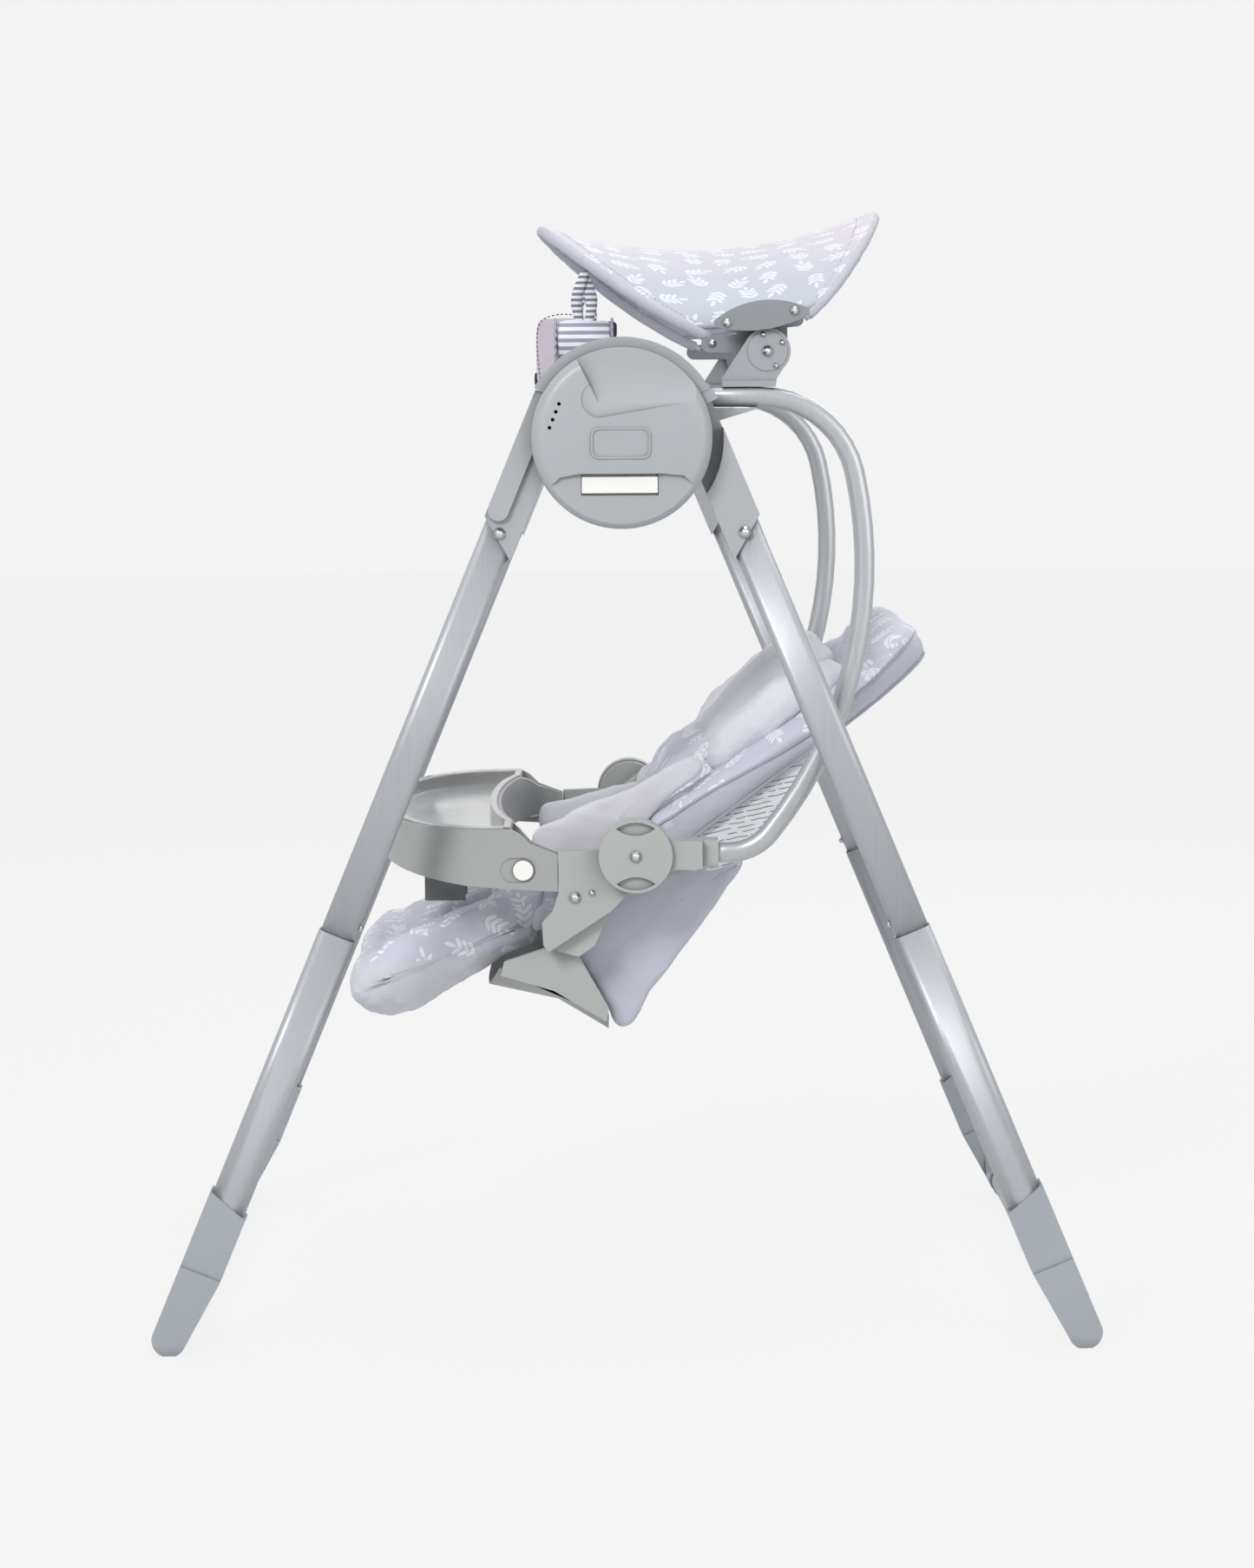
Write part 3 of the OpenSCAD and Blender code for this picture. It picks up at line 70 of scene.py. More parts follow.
# ---------- small helpers ----------
def rgb(r, g, b):
    """An sRGB colour of 0 to 255 as a linear one."""
    return tuple(c / 12.92 if c <= 0.04045 else ((c + 0.055) / 1.055) ** 2.4
                 for c in (r / 255.0, g / 255.0, b / 255.0)) + (1.0,)


def make_object(name, verts, faces, body=None, material=None, smooth=True):
    me = bpy.data.meshes.new(name)
    me.from_pydata([tuple(v) for v in verts], [], [tuple(f) for f in faces])
    me.validate()
    me.update()
    ob = bpy.data.objects.new(name, me)
    bpy.context.scene.collection.objects.link(ob)
    if smooth:
        for p in me.polygons:
            p.use_smooth = True
    if material:
        me.materials.append(material)
    if body:
        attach(ob, body)
    return ob


def apply_modifiers(ob):
    """Swaps an object's mesh for its evaluated one and drops the modifiers."""
    bpy.context.view_layer.update()
    dg = bpy.context.evaluated_depsgraph_get()
    me = bpy.data.meshes.new_from_object(ob.evaluated_get(dg))
    ob.modifiers.clear()
    ob.data = me


def subsurf(ob, levels=1):
    md = ob.modifiers.new("subdiv", "SUBSURF")
    md.levels = levels
    md.render_levels = levels


# ---------- node materials ----------
class Graph:
    """A short way to write a material's nodes."""

    def __init__(self, name):
        self.mat = bpy.data.materials.new(name)
        self.mat.use_nodes = True
        self.t = self.mat.node_tree
        self.b = self.t.nodes["Principled BSDF"]
        self.co = None

    def node(self, kind, **values):
        n = self.t.nodes.new(kind)
        for k, v in values.items():
            if k in n.inputs:
                n.inputs[k].default_value = v
            else:
                setattr(n, k, v)
        return n

    def link(self, a, b):
        self.t.links.new(a, b)

    def coords(self, scale=(1, 1, 1)):
        if self.co is None:
            self.co = self.t.nodes.new("ShaderNodeTexCoord")
        mp = self.t.nodes.new("ShaderNodeMapping")
        mp.inputs["Scale"].default_value = scale
        self.link(self.co.outputs["Object"], mp.inputs["Vector"])
        return mp.outputs["Vector"]

    def noise(self, scale, detail=2.0, coords=None):
        n = self.node("ShaderNodeTexNoise", Scale=scale, Detail=detail)
        self.link(coords or self.coords(), n.inputs["Vector"])
        return n.outputs["Fac"]

    def math(self, op, a, b=None):
        n = self.node("ShaderNodeMath", operation=op)
        for i, v in enumerate((a, b)):
            if v is None:
                continue
            if isinstance(v, (int, float)):
                n.inputs[i].default_value = v
            else:
                self.link(v, n.inputs[i])
        return n.outputs[0]

    def mul(self, a, b):
        return self.math("MULTIPLY", a, b)

    def add(self, a, b):
        return self.math("ADD", a, b)

    def sub(self, a, b):
        return self.math("SUBTRACT", a, b)

    def within(self, a, half):
        """1 where the size of a is under half."""
        return self.math("LESS_THAN", self.math("ABSOLUTE", a), half)

    def split(self, vector):
        n = self.node("ShaderNodeSeparateXYZ")
        self.link(vector, n.inputs[0])
        return n.outputs

    def join(self, x, y):
        n = self.node("ShaderNodeCombineXYZ")
        self.link(x, n.inputs[0])
        self.link(y, n.inputs[1])
        return n.outputs[0]

    def turned(self, x, y, cos, sin):
        """Two coordinates on axes turned by an angle."""
        return (self.add(self.mul(x, cos), self.mul(y, sin)),
                self.sub(self.mul(y, cos), self.mul(x, sin)))

    def ramp(self, fac, stops, constant=False):
        n = self.t.nodes.new("ShaderNodeValToRGB")
        if constant:
            n.color_ramp.interpolation = "CONSTANT"
        e = n.color_ramp.elements
        while len(e) > 1:
            e.remove(e[-1])
        e[0].position, e[0].color = stops[0]
        for pos, col in stops[1:]:
            e.new(pos).color = col
        self.link(fac, n.inputs["Fac"])
        return n.outputs["Color"]

    def mix(self, fac, a, b):
        n = self.t.nodes.new("ShaderNodeMix")
        n.data_type = "RGBA"
        for s, v in ((n.inputs[0], fac), (n.inputs[6], a), (n.inputs[7], b)):
            if isinstance(v, (int, float, tuple)):
                s.default_value = v
            else:
                self.link(v, s)
        return n.outputs[2]

    def bump(self, height, strength=0.3, distance=0.0005):
        n = self.node("ShaderNodeBump", Strength=strength, Distance=distance)
        self.link(height, n.inputs["Height"])
        self.link(n.outputs["Normal"], self.b.inputs["Normal"])
        return n

    def set(self, **values):
        """Plain values on the shader's own sockets, with _ for a space in their names."""
        for k, v in values.items():
            self.b.inputs[k.replace("_", " ")].default_value = v

    def rough(self, fac, low, high, a, b):
        """Roughness a where fac is at low, b where it is at high."""
        grey = [(at, (v,) * 3 + (1,)) for at, v in ((low, a), (high, b))]
        self.link(self.ramp(fac, grey), self.b.inputs["Roughness"])


def shade(col, k):
    return tuple(min(1.0, c * k) for c in col[:3]) + (1.0,)


def plastic(name, col, rough=0.42, depth=0.12, painted_shade=None):
    g = Graph(name)
    soft = g.noise(9.0, 3.0)
    base = g.ramp(soft, [(0.3, shade(col, 0.965)), (0.7, shade(col, 1.03))])
    if painted_shade:
        # painted shade: below this height and within this far of the middle, the colour is darker, standing
        # in for shadow
        low, half = painted_shade
        s = g.split(g.coords())
        painted_shade_mask = g.mul(g.math("LESS_THAN", s[2], low), g.within(s[1], half))
        base = g.mix(painted_shade_mask, base, shade(col, 0.52))
    # painted shade: the colour darkens in the recesses and along the joints, by an occlusion node
    ao = g.node("ShaderNodeAmbientOcclusion", Distance=0.012)
    ao.samples = 8
    painted_crease_shade = g.mul(g.sub(1.0, ao.outputs["AO"]), 0.95)
    g.link(g.mix(painted_crease_shade, base, shade(col, 0.42)), g.b.inputs["Base Color"])
    fine = g.noise(900.0, 2.0)
    g.rough(fine, 0.3, 0.7, rough - 0.05, rough + 0.06)
    g.bump(fine, depth, 0.0002)
    g.set(Specular_IOR_Level=0.5)
    return g.mat


def metal(name, col, rough=0.33, metallic=0.85, along="Z"):
    g = Graph(name)
    scale = {"Y": (900, 12, 900), "Z": (900, 900, 12)}[along]
    streak = g.noise(1.0, 3.0, g.coords(scale))
    g.link(g.ramp(streak, [(0.25, shade(col, 0.94)), (0.75, shade(col, 1.05))]), g.b.inputs["Base Color"])
    g.rough(streak, 0.2, 0.8, rough - 0.06, rough + 0.08)
    g.set(Metallic=metallic)
    g.bump(streak, 0.06, 0.0001)
    return g.mat


def weave(g, pitch):
    """A plain weave as a height: two crossed sets of threads, from bands in the object's own space."""
    bands = []
    for axis in "XZY":
        n = g.node("ShaderNodeTexWave", Scale=1.0 / pitch / 3.2, Distortion=0.4)
        n.bands_direction = axis
        g.link(g.coords(), n.inputs["Vector"])
        bands.append(n.outputs["Fac"])
    return g.add(g.mul(bands[0], bands[1]), g.mul(bands[2], 0.5))


def fabric(name, col, wrinkle=0.25, pitch=0.0011, print_fn=None):
    g = Graph(name)
    soft = g.noise(14.0, 4.0)
    base = g.ramp(soft, [(0.3, shade(col, 0.96)), (0.7, shade(col, 1.04))])
    if print_fn:
        base = print_fn(g, base)
    th = weave(g, pitch)
    g.link(g.mix(g.mul(th, 0.10), base, shade(col, 0.72)), g.b.inputs["Base Color"])
    g.set(Roughness=0.85, Sheen_Weight=0.25, Sheen_Roughness=0.5, Specular_IOR_Level=0.2)
    folds = g.noise(38.0, 3.0)
    n1 = g.bump(th, 0.35, 0.0004)
    n2 = g.node("ShaderNodeBump", Strength=wrinkle, Distance=0.004)
    g.link(folds, n2.inputs["Height"])
    g.link(n2.outputs["Normal"], n1.inputs["Normal"])
    return g.mat


# ---------- prints and special materials ----------
SPRIG_TINT = (0.86, 0.88, 0.92, 1.0)
SPRIG_CELL = 0.044
FULL_TURN = 6.283


def sprig_print(g, base, size, uv=False, slope=0.0, strength=0.92):
    """Pale generic sprigs, one to a cell, each with a turn of its own: a stem and a few oval leaves.
    The print lies in the sheet's own uv, or flat on the side faces and along the slope elsewhere."""
    tex = g.node("ShaderNodeTexCoord")
    if uv:
        plane = tex.outputs["UV"]
    else:
        s = g.split(tex.outputs["Object"])
        along, rise = g.turned(s[0], s[2], math.cos(slope), math.sin(slope))
        side = g.math("GREATER_THAN", g.math("ABSOLUTE", g.split(tex.outputs["Normal"])[1]), 0.60)
        plane = g.join(along, g.add(g.mul(rise, side), g.mul(s[1], g.sub(1.0, side))))
    v = g.node("ShaderNodeTexVoronoi", Scale=1.0 / size, Randomness=0.32)
    v.feature = "F1"
    v.voronoi_dimensions = "2D"
    g.link(plane, v.inputs["Vector"])
    d = g.node("ShaderNodeVectorMath", operation="SUBTRACT")
    g.link(plane, d.inputs[0])
    g.link(v.outputs["Position"], d.inputs[1])
    sep = g.node("ShaderNodeSeparateColor")
    g.link(v.outputs["Color"], sep.inputs[0])
    ang = g.mul(sep.outputs[0], FULL_TURN)
    q = g.split(d.outputs[0])
    u, w = g.turned(q[0], q[1], g.math("COSINE", ang), g.math("SINE", ang))
    k = size / SPRIG_CELL
    total = g.mul(g.within(w, 0.0005 * k), g.within(u, 0.016 * k))
    # leaves: ovals along the stem in pairs, turned outwards, and one at the tip
    for lu, side in [(at, side) for at in (-0.011, -0.003, 0.005) for side in (1, -1)] + [(0.015, 0)]:
        tilt = 0.8 * side
        a, b = g.turned(g.sub(u, lu * k), g.sub(w, 0.0052 * side * k), math.cos(tilt), math.sin(tilt))
        oval = [g.math("POWER", g.math("ABSOLUTE", g.math("DIVIDE", at, radius * k)), 2.0)
                for at, radius in ((a, 0.0068), (b, 0.0024))]
        total = g.math("MAXIMUM", total, g.math("LESS_THAN", g.add(*oval), 1.0))
    return g.mix(g.mul(total, strength), base, SPRIG_TINT)


def rise_between(g, low, high):
    """0 below one height and 1 above the other."""
    n = g.node("ShaderNodeMapRange")
    n.inputs["From Min"].default_value = low
    n.inputs["From Max"].default_value = high
    g.link(g.split(g.coords())[2], n.inputs["Value"])
    return n.outputs["Result"]


def mesh_fabric(name, col, hole):
    """A spacer mesh: wavy rows of short dark slots on a pale knit."""
    g = Graph(name)
    base = g.ramp(g.noise(16.0, 3.0), [(0.3, shade(col, 0.96)), (0.7, shade(col, 1.03))])
    s = g.split(g.coords())
    tilt, pitch = 0.2, 0.0043
    along, rise = g.turned(s[0], s[2], math.cos(tilt), math.sin(tilt))
    row = g.math("DIVIDE", g.add(rise, g.mul(g.noise(60.0, 1.0), 0.0035)), pitch)
    line = g.within(g.sub(g.math("FRACT", row), 0.5), 0.11)
    cell = g.join(g.mul(along, 95.0), g.mul(g.math("FLOOR", row), 3.7))
    slot = g.mul(line, g.math("GREATER_THAN", g.noise(1.0, 1.0, cell), 0.44))
    g.link(g.mix(g.mul(slot, 0.72), base, hole), g.b.inputs["Base Color"])
    g.set(Roughness=0.9, Sheen_Weight=0.2)
    g.bump(g.sub(weave(g, 0.0014), slot), 0.45, 0.0006)
    return g.mat


def stripes(name, cols, pitch):
    """Level bands of colour, in the object's own space."""
    g = Graph(name)
    f = g.math("FRACT", g.math("DIVIDE", g.split(g.coords())[2], pitch * len(cols)))
    bands = g.ramp(f, [(i / len(cols), col) for i, col in enumerate(cols)], constant=True)
    th = weave(g, 0.001)
    g.link(g.mix(g.mul(th, 0.1), bands, (0.2, 0.2, 0.22, 1)), g.b.inputs["Base Color"])
    g.set(Roughness=0.85, Sheen_Weight=0.3)
    g.bump(th, 0.3, 0.0004)
    return g.mat


M_HUB = plastic("hub plastic", rgb(163, 166, 169), 0.40)
M_FOOT = plastic("foot plastic", rgb(158, 163, 168), 0.42)
M_SEAT = plastic("seat plastic", rgb(165, 169, 166), 0.42)
M_SHELL = plastic("cradle plastic", rgb(150, 153, 152), 0.5)
M_STAND = plastic("stand plastic", rgb(158, 162, 166), 0.42)
M_LENS = plastic("canopy hinge plastic", rgb(136, 140, 144), 0.42)
# painted shade on the crotch post, below the tray, by the plastic's darker zone
M_TRAY = plastic("tray plastic", rgb(156, 158, 157), 0.42, painted_shade=(0.404, 0.034))
M_WHITE = plastic("white plastic", rgb(233, 231, 226), 0.3, depth=0.05)
M_LEG = metal("leg tube", rgb(170, 173, 177), 0.42, 0.45)
M_BASE = metal("base tube", rgb(168, 171, 175), 0.42, 0.45, along="Y")
M_ARM = metal("arm tube", rgb(178, 181, 184), 0.36, 0.6, along="Z")
M_CHROME = metal("bright steel", rgb(205, 207, 210), 0.2, 1.0)
M_DARK = plastic("dark part", rgb(70, 71, 74), 0.5)
M_COPPER = metal("coil copper", rgb(184, 115, 70), 0.35, 1.0)
M_BOW = plastic("bow sleeve", rgb(198, 197, 206), 0.6)
M_LILAC = fabric("printed cotton", rgb(203, 204, 216),
                 print_fn=lambda g, b: sprig_print(g, b, size=0.033, slope=0.42))
M_LILAC_PLAIN = fabric("plain cotton", rgb(186, 188, 198))
M_WAIST = fabric("waist panel cotton", rgb(208, 207, 213))
M_HEM = fabric("plain underside cotton", rgb(206, 207, 214))
M_CANOPY = fabric("canopy cloth", rgb(184, 187, 197), wrinkle=0.2, print_fn=lambda g, b: sprig_print(
    g, g.mix(rise_between(g, 0.925, 0.985), b, rgb(208, 199, 207)), size=0.031, uv=True, strength=0.55))
M_SLEEVE = fabric("canopy sleeve", rgb(182, 184, 192), wrinkle=0.15)
M_BIND = fabric("binding tape", rgb(168, 169, 178), wrinkle=0.05, pitch=0.0008)
M_MESH = mesh_fabric("spacer mesh", rgb(226, 229, 232), rgb(70, 71, 78))
M_WHITE_CLOTH = fabric("white cloth", rgb(220, 220, 226), wrinkle=0.2)
M_STRAP = fabric("webbing", rgb(196, 196, 204), wrinkle=0.03, pitch=0.0018)
M_BUCKLE = plastic("buckle", rgb(120, 122, 126), 0.4)
M_ROLLER = stripes("striped cloth", [rgb(236, 236, 240), rgb(148, 148, 170)], 0.0034)
M_LOOP = stripes("striped loop", [rgb(122, 122, 138), rgb(236, 236, 240)], 0.0025)
M_RUFFLE = fabric("ruffle cloth", rgb(176, 178, 194), wrinkle=0.2)
M_BOOK = fabric("book cloth", rgb(196, 188, 198), wrinkle=0.2)
M_PAGE = fabric("book page", rgb(190, 194, 206), wrinkle=0.2)
M_TAG = fabric("black tag", rgb(52, 52, 56), wrinkle=0.05)


def glass(name, col, rough):
    g = Graph(name)
    n = g.noise(30.0, 2.0)
    g.rough(n, 0.3, 0.7, rough, rough + 0.05)
    g.set(Base_Color=col, Transmission_Weight=0.8, IOR=1.35)
    return g.mat


M_CLEAR = glass("clear plastic", rgb(240, 241, 242), 0.12)

NODE_MATERIAL = {
    "front_tube": M_LEG, "rear_tube": M_LEG, "front_base_tube": M_BASE, "rear_base_tube": M_BASE,
    "front_foot": M_FOOT, "rear_foot": M_FOOT, "hub_": M_HUB, "rear_socket": M_HUB, "arm_hub": M_HUB,
    "canopy_stand": M_STAND, "canopy_bracket": M_LENS, "shaft_bushing": M_WHITE,
    "release_lever": M_WHITE, "tray_button": M_WHITE, "tray_bar": M_TRAY, "tray_dish": M_CLEAR,
    "seat_side": M_SEAT, "seat_shell": M_SHELL, "recline_knob": M_SEAT, "arm_tube": M_ARM,
    "back_tube": M_ARM, "canopy_bows": M_BOW, "drive_coil": M_COPPER, "drive_magnet": M_DARK,
    "battery_cells": M_DARK, "lever_spring": M_CHROME, "swing_shaft": M_CHROME,
}
BEVEL = {
    "front_foot": 0.0035, "rear_foot": 0.0035, "hub_housing": 0.0022, "hub_cover": 0.001,
    "rear_socket": 0.0022, "arm_hub": 0.003, "canopy_stand": 0.002, "canopy_bracket": 0.0013,
    "release_lever": 0.0014, "tray_bar": 0.002, "seat_side": 0.0025, "recline_knob": 0.0025,
    "tray_dish": 0.0006, "tray_button": 0.001,
}
WELD = 0.00002


def finish_cad():
    """Gives every CAD node its material, smooth shading, and soft moulded edges by modifiers."""
    for name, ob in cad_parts.items():
        mat = M_CHROME if name.endswith("fasteners") else M_LILAC_PLAIN
        for k, v in NODE_MATERIAL.items():
            if name.startswith(k):
                mat = v
        ob.data.materials.clear()
        ob.data.materials.append(mat)
        for p in ob.data.polygons:
            p.material_index = 0
            p.use_smooth = True
        if "custom_normal" in ob.data.attributes:
            ob.data.attributes.remove(ob.data.attributes["custom_normal"])
        w = next((v for k, v in BEVEL.items() if name.startswith(k)), None)
        weld = ob.modifiers.new("weld", "WELD")
        weld.merge_threshold = WELD
        if w:
            dec = ob.modifiers.new("flat", "DECIMATE")
            dec.decimate_type = "DISSOLVE"
            dec.angle_limit = math.radians(1.0)
            dec.delimit = set()
            bev = ob.modifiers.new("edge", "BEVEL")
            bev.width = w
            bev.segments = 3
            bev.limit_method = "ANGLE"
            bev.angle_limit = math.radians(32)
            bev.miter_outer = "MITER_ARC"
            ob.modifiers.new("normals", "WEIGHTED_NORMAL").keep_sharp = True
        else:
            ob.data.set_sharp_from_angle(angle=math.radians(35))


finish_cad()


# ---------- soft goods: shared tools ----------
MM = 0.001
# the backrest's foot, and its slope
FOOT_X, FOOT_Z = 10.0, 430.0
BACK = math.radians(36.5)
COS_BACK, SIN_BACK = math.cos(BACK), math.sin(BACK)
# the share of a ring that is left where a form closes
THIN = 0.02
SIDES = ((-1, "left"), (1, "right"))
ALONG_Y, ALONG_Z = Vector((0, 1, 0)), Vector((0, 0, 1))


def back_pt(d, off, y=0.0):
    """A point given along the backrest and square to it, in millimetres, as metres in the shared frame."""
    x = FOOT_X + d * COS_BACK - off * SIN_BACK
    z = FOOT_Z + d * SIN_BACK + off * COS_BACK
    return Vector((x * MM, y * MM, z * MM))


def back_xz(d, off):
    """The same point's x and z in millimetres."""
    p = back_pt(d, off)
    return p.x / MM, p.z / MM


def circle(count):
    for k in range(count):
        a = 2 * math.pi * k / count
        yield math.cos(a), math.sin(a)


def thicken(ob, thick, offset):
    sol = ob.modifiers.new("thick", "SOLIDIFY")
    sol.thickness = thick
    sol.offset = offset
    apply_modifiers(ob)


def loft(name, rings, body, material, level=1):
    """A closed form through rings of equal length, with a cap at either end."""
    n = len(rings[0])
    verts = [p for r in rings for p in r]
    faces = []
    for i in range(len(rings) - 1):
        for k in range(n):
            a, b = i * n + k, i * n + (k + 1) % n
            faces.append((a, b, b + n, a + n))
    faces.append(tuple(range(n - 1, -1, -1)))
    faces.append(tuple(range((len(rings) - 1) * n, len(rings) * n)))
    ob = make_object(name, verts, faces, None, material)
    bm = bmesh.new()
    bm.from_mesh(ob.data)
    bmesh.ops.recalc_face_normals(bm, faces=bm.faces)
    bm.to_mesh(ob.data)
    bm.free()
    if level:
        subsurf(ob, level)
        apply_modifiers(ob)
    if body:
        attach(ob, body)
    return ob


def displace(ob, fn):
    """Moves every vertex along its normal by fn(point) metres."""
    me = ob.data
    me.update()
    nor = [v.normal.copy() for v in me.vertices]
    for v, nv in zip(me.vertices, nor):
        v.co += nv * fn(v.co)
    me.update()


def rumple(ob, amp, size, seed, stretch=(1, 1, 1)):
    """Soft folds in the cloth: noise, longer along the axes where stretch is small."""
    off = Vector((seed * 3.17, seed * 1.31, seed * 7.7))
    s = Vector(stretch) / size

    def fn(p):
        q = Vector((p.x * s.x, p.y * s.y, p.z * s.z)) + off
        return amp * mnoise.fractal(q, 0.8, 2.2, 3)
    displace(ob, fn)


def resample(points, count, closed=True):
    """Evenly spaced points along a smooth curve through the given ones."""
    pts = [Vector(p) for p in points]
    n = len(pts)
    dense = []
    segs = n if closed else n - 1
    for i in range(segs):
        if closed:
            p0, p1, p2, p3 = pts[i - 1], pts[i], pts[(i + 1) % n], pts[(i + 2) % n]
        else:
            p0, p1, p2, p3 = pts[max(i - 1, 0)], pts[i], pts[i + 1], pts[min(i + 2, n - 1)]
        for k in range(12):
            t = k / 12.0
            dense.append(0.5 * ((2 * p1) + (p2 - p0) * t + (2 * p0 - 5 * p1 + 4 * p2 - p3) * t * t
                                + (3 * p1 - p0 - 3 * p2 + p3) * t * t * t))
    if not closed:
        dense.append(pts[-1])
    seq = dense + [dense[0]] if closed else dense
    cum = [0.0]
    for a, b in zip(seq, seq[1:]):
        cum.append(cum[-1] + (b - a).length)
    total = cum[-1]
    out = []
    steps = count if closed else count - 1
    j = 0
    for i in range(count):
        s = total * i / steps
        while j < len(cum) - 2 and cum[j + 1] < s:
            j += 1
        w = (s - cum[j]) / max(cum[j + 1] - cum[j], 1e-9)
        out.append(seq[j].lerp(seq[j + 1], min(max(w, 0), 1)))
    return out


def tube(name, path, radius, body, material, sides, flat=1.0, ref=ALONG_Z):
    """A swept tube of a few sides along a path of points in metres."""
    pts = [Vector(p) for p in path]
    n = len(pts)
    rings = []
    for i, p in enumerate(pts):
        t = (pts[min(i + 1, n - 1)] - pts[max(i - 1, 0)]).normalized()
        r = radius(i / (n - 1)) if callable(radius) else radius
        u = t.cross(ref)
        if u.length < 1e-4:
            u = t.cross(Vector((1, 0, 0.01)))
        u.normalize()
        v = t.cross(u).normalized()
        rings.append([p + u * (r * c) + v * (r * flat * s) for c, s in circle(sides)])
    verts = [q for r in rings for q in r]
    faces = []
    for i in range(n - 1):
        for k in range(sides):
            a, b = i * sides + k, i * sides + (k + 1) % sides
            faces.append((a, b, b + sides, a + sides))
    faces.append(tuple(range(sides - 1, -1, -1)))
    faces.append(tuple(range((n - 1) * sides, n * sides)))
    return make_object(name, verts, faces, body, material)


# half of a strap's section, as shares of its width and thickness; the other half is its mirror
STRAP_EDGE = ((-1, -0.5), (-0.94, -1), (0.94, -1), (1, -0.5))


def strap(name, path, width, thick, side, body, material):
    """A flat strap along a path: width lies along side, square to the path."""
    pts = [Vector(p) for p in path]
    rings = []
    for i, p in enumerate(pts):
        t = (pts[min(i + 1, len(pts) - 1)] - pts[max(i - 1, 0)]).normalized()
        s = (side - t * side.dot(t)).normalized()
        u = t.cross(s).normalized()
        w, h = width / 2, thick / 2
        section = STRAP_EDGE + tuple((-a, -b) for a, b in STRAP_EDGE)
        rings.append([p + s * a * w + u * b * h for a, b in section])
    return loft(name, rings, body, material, level=0)


def dashes(name, path, length, gap, radius, normal, body, material):
    """A row of stitches lying along a path."""
    full = sum((b - a).length for a, b in zip(path, path[1:]))
    pts = resample(path, max(4, int(full / (length + gap))), False)
    verts, faces = [], []
    for a, b in zip(pts, pts[1:]):
        t = (b - a).normalized()
        s = t.cross(normal).normalized() * radius
        u = Vector(normal).normalized() * radius
        c = a.lerp(b, 0.5)
        h = t * (length / 2)
        base = len(verts)
        for q, k in ((c - h, 0.3), (c - h * 0.6, 1.0), (c + h * 0.6, 1.0), (c + h, 0.3)):
            verts += [q + s * k, q + u * k, q - s * k, q - u * k]
        for first in range(base, base + 12, 4):
            for k in range(4):
                i, j = first + k, first + (k + 1) % 4
                faces.append((i, j, j + 4, i + 4))
    return make_object(name, verts, faces, body, material)


def superloop(count, n):
    """The points of a superellipse round a ring, as shares of its two half widths."""
    return [tuple(math.copysign(abs(v) ** (2 / n), v) for v in point) for point in circle(count)]


def outline_points(outline, count):
    """Even points in metres round an outline of x and z in millimetres."""
    return resample([Vector((x * MM, 0, z * MM)) for x, z in outline], count)


def soften(ob, amp, size, seed, stretch, fine, fine_size):
    """Broad folds and fine ones over them, then the ride on the seat."""
    rumple(ob, amp, size, seed, stretch)
    rumple(ob, fine, fine_size, seed + 1)
    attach(ob, "seat")


# ---------- canopy ----------
HINGE_Z = 791.0 + 73.0
F_ROOT, R_ROOT = (86.0, HINGE_Z + 8), (158.0, HINGE_Z + 27)
F_TOP, R_TOP = (-70, 978), (236, 990)
BOW_HALF = 232
SAG = 28
CLOTH_THICK = 0.0014


def lift(a):
    return max(math.cos(a), 0.0) ** 0.8


def front_bow(a):
    s = lift(a)
    return Vector((F_ROOT[0] + (F_TOP[0] - F_ROOT[0]) * (0.75 * s + 0.25 * s ** 2.2),
                   BOW_HALF * math.sin(a),
                   F_ROOT[1] + (F_TOP[1] - F_ROOT[1]) * (0.5 * s + 0.5 * s ** 2.4)))


def rear_bow(a):
    s = lift(a)
    return Vector((R_ROOT[0] + (R_TOP[0] - R_ROOT[0]) * (0.8 * s + 0.2 * s * s),
                   BOW_HALF * 0.985 * math.sin(a),
                   R_ROOT[1] + (R_TOP[1] - R_ROOT[1]) * (0.45 * s + 0.55 * s * s)))


def canopy_point(a, t, up=0.0):
    p, q = front_bow(a), rear_bow(a)
    sag = 4 * t * (1 - t) * SAG * lift(a)
    return (p + (q - p) * t + Vector((0, 0, 3.0 + up - sag))) * MM


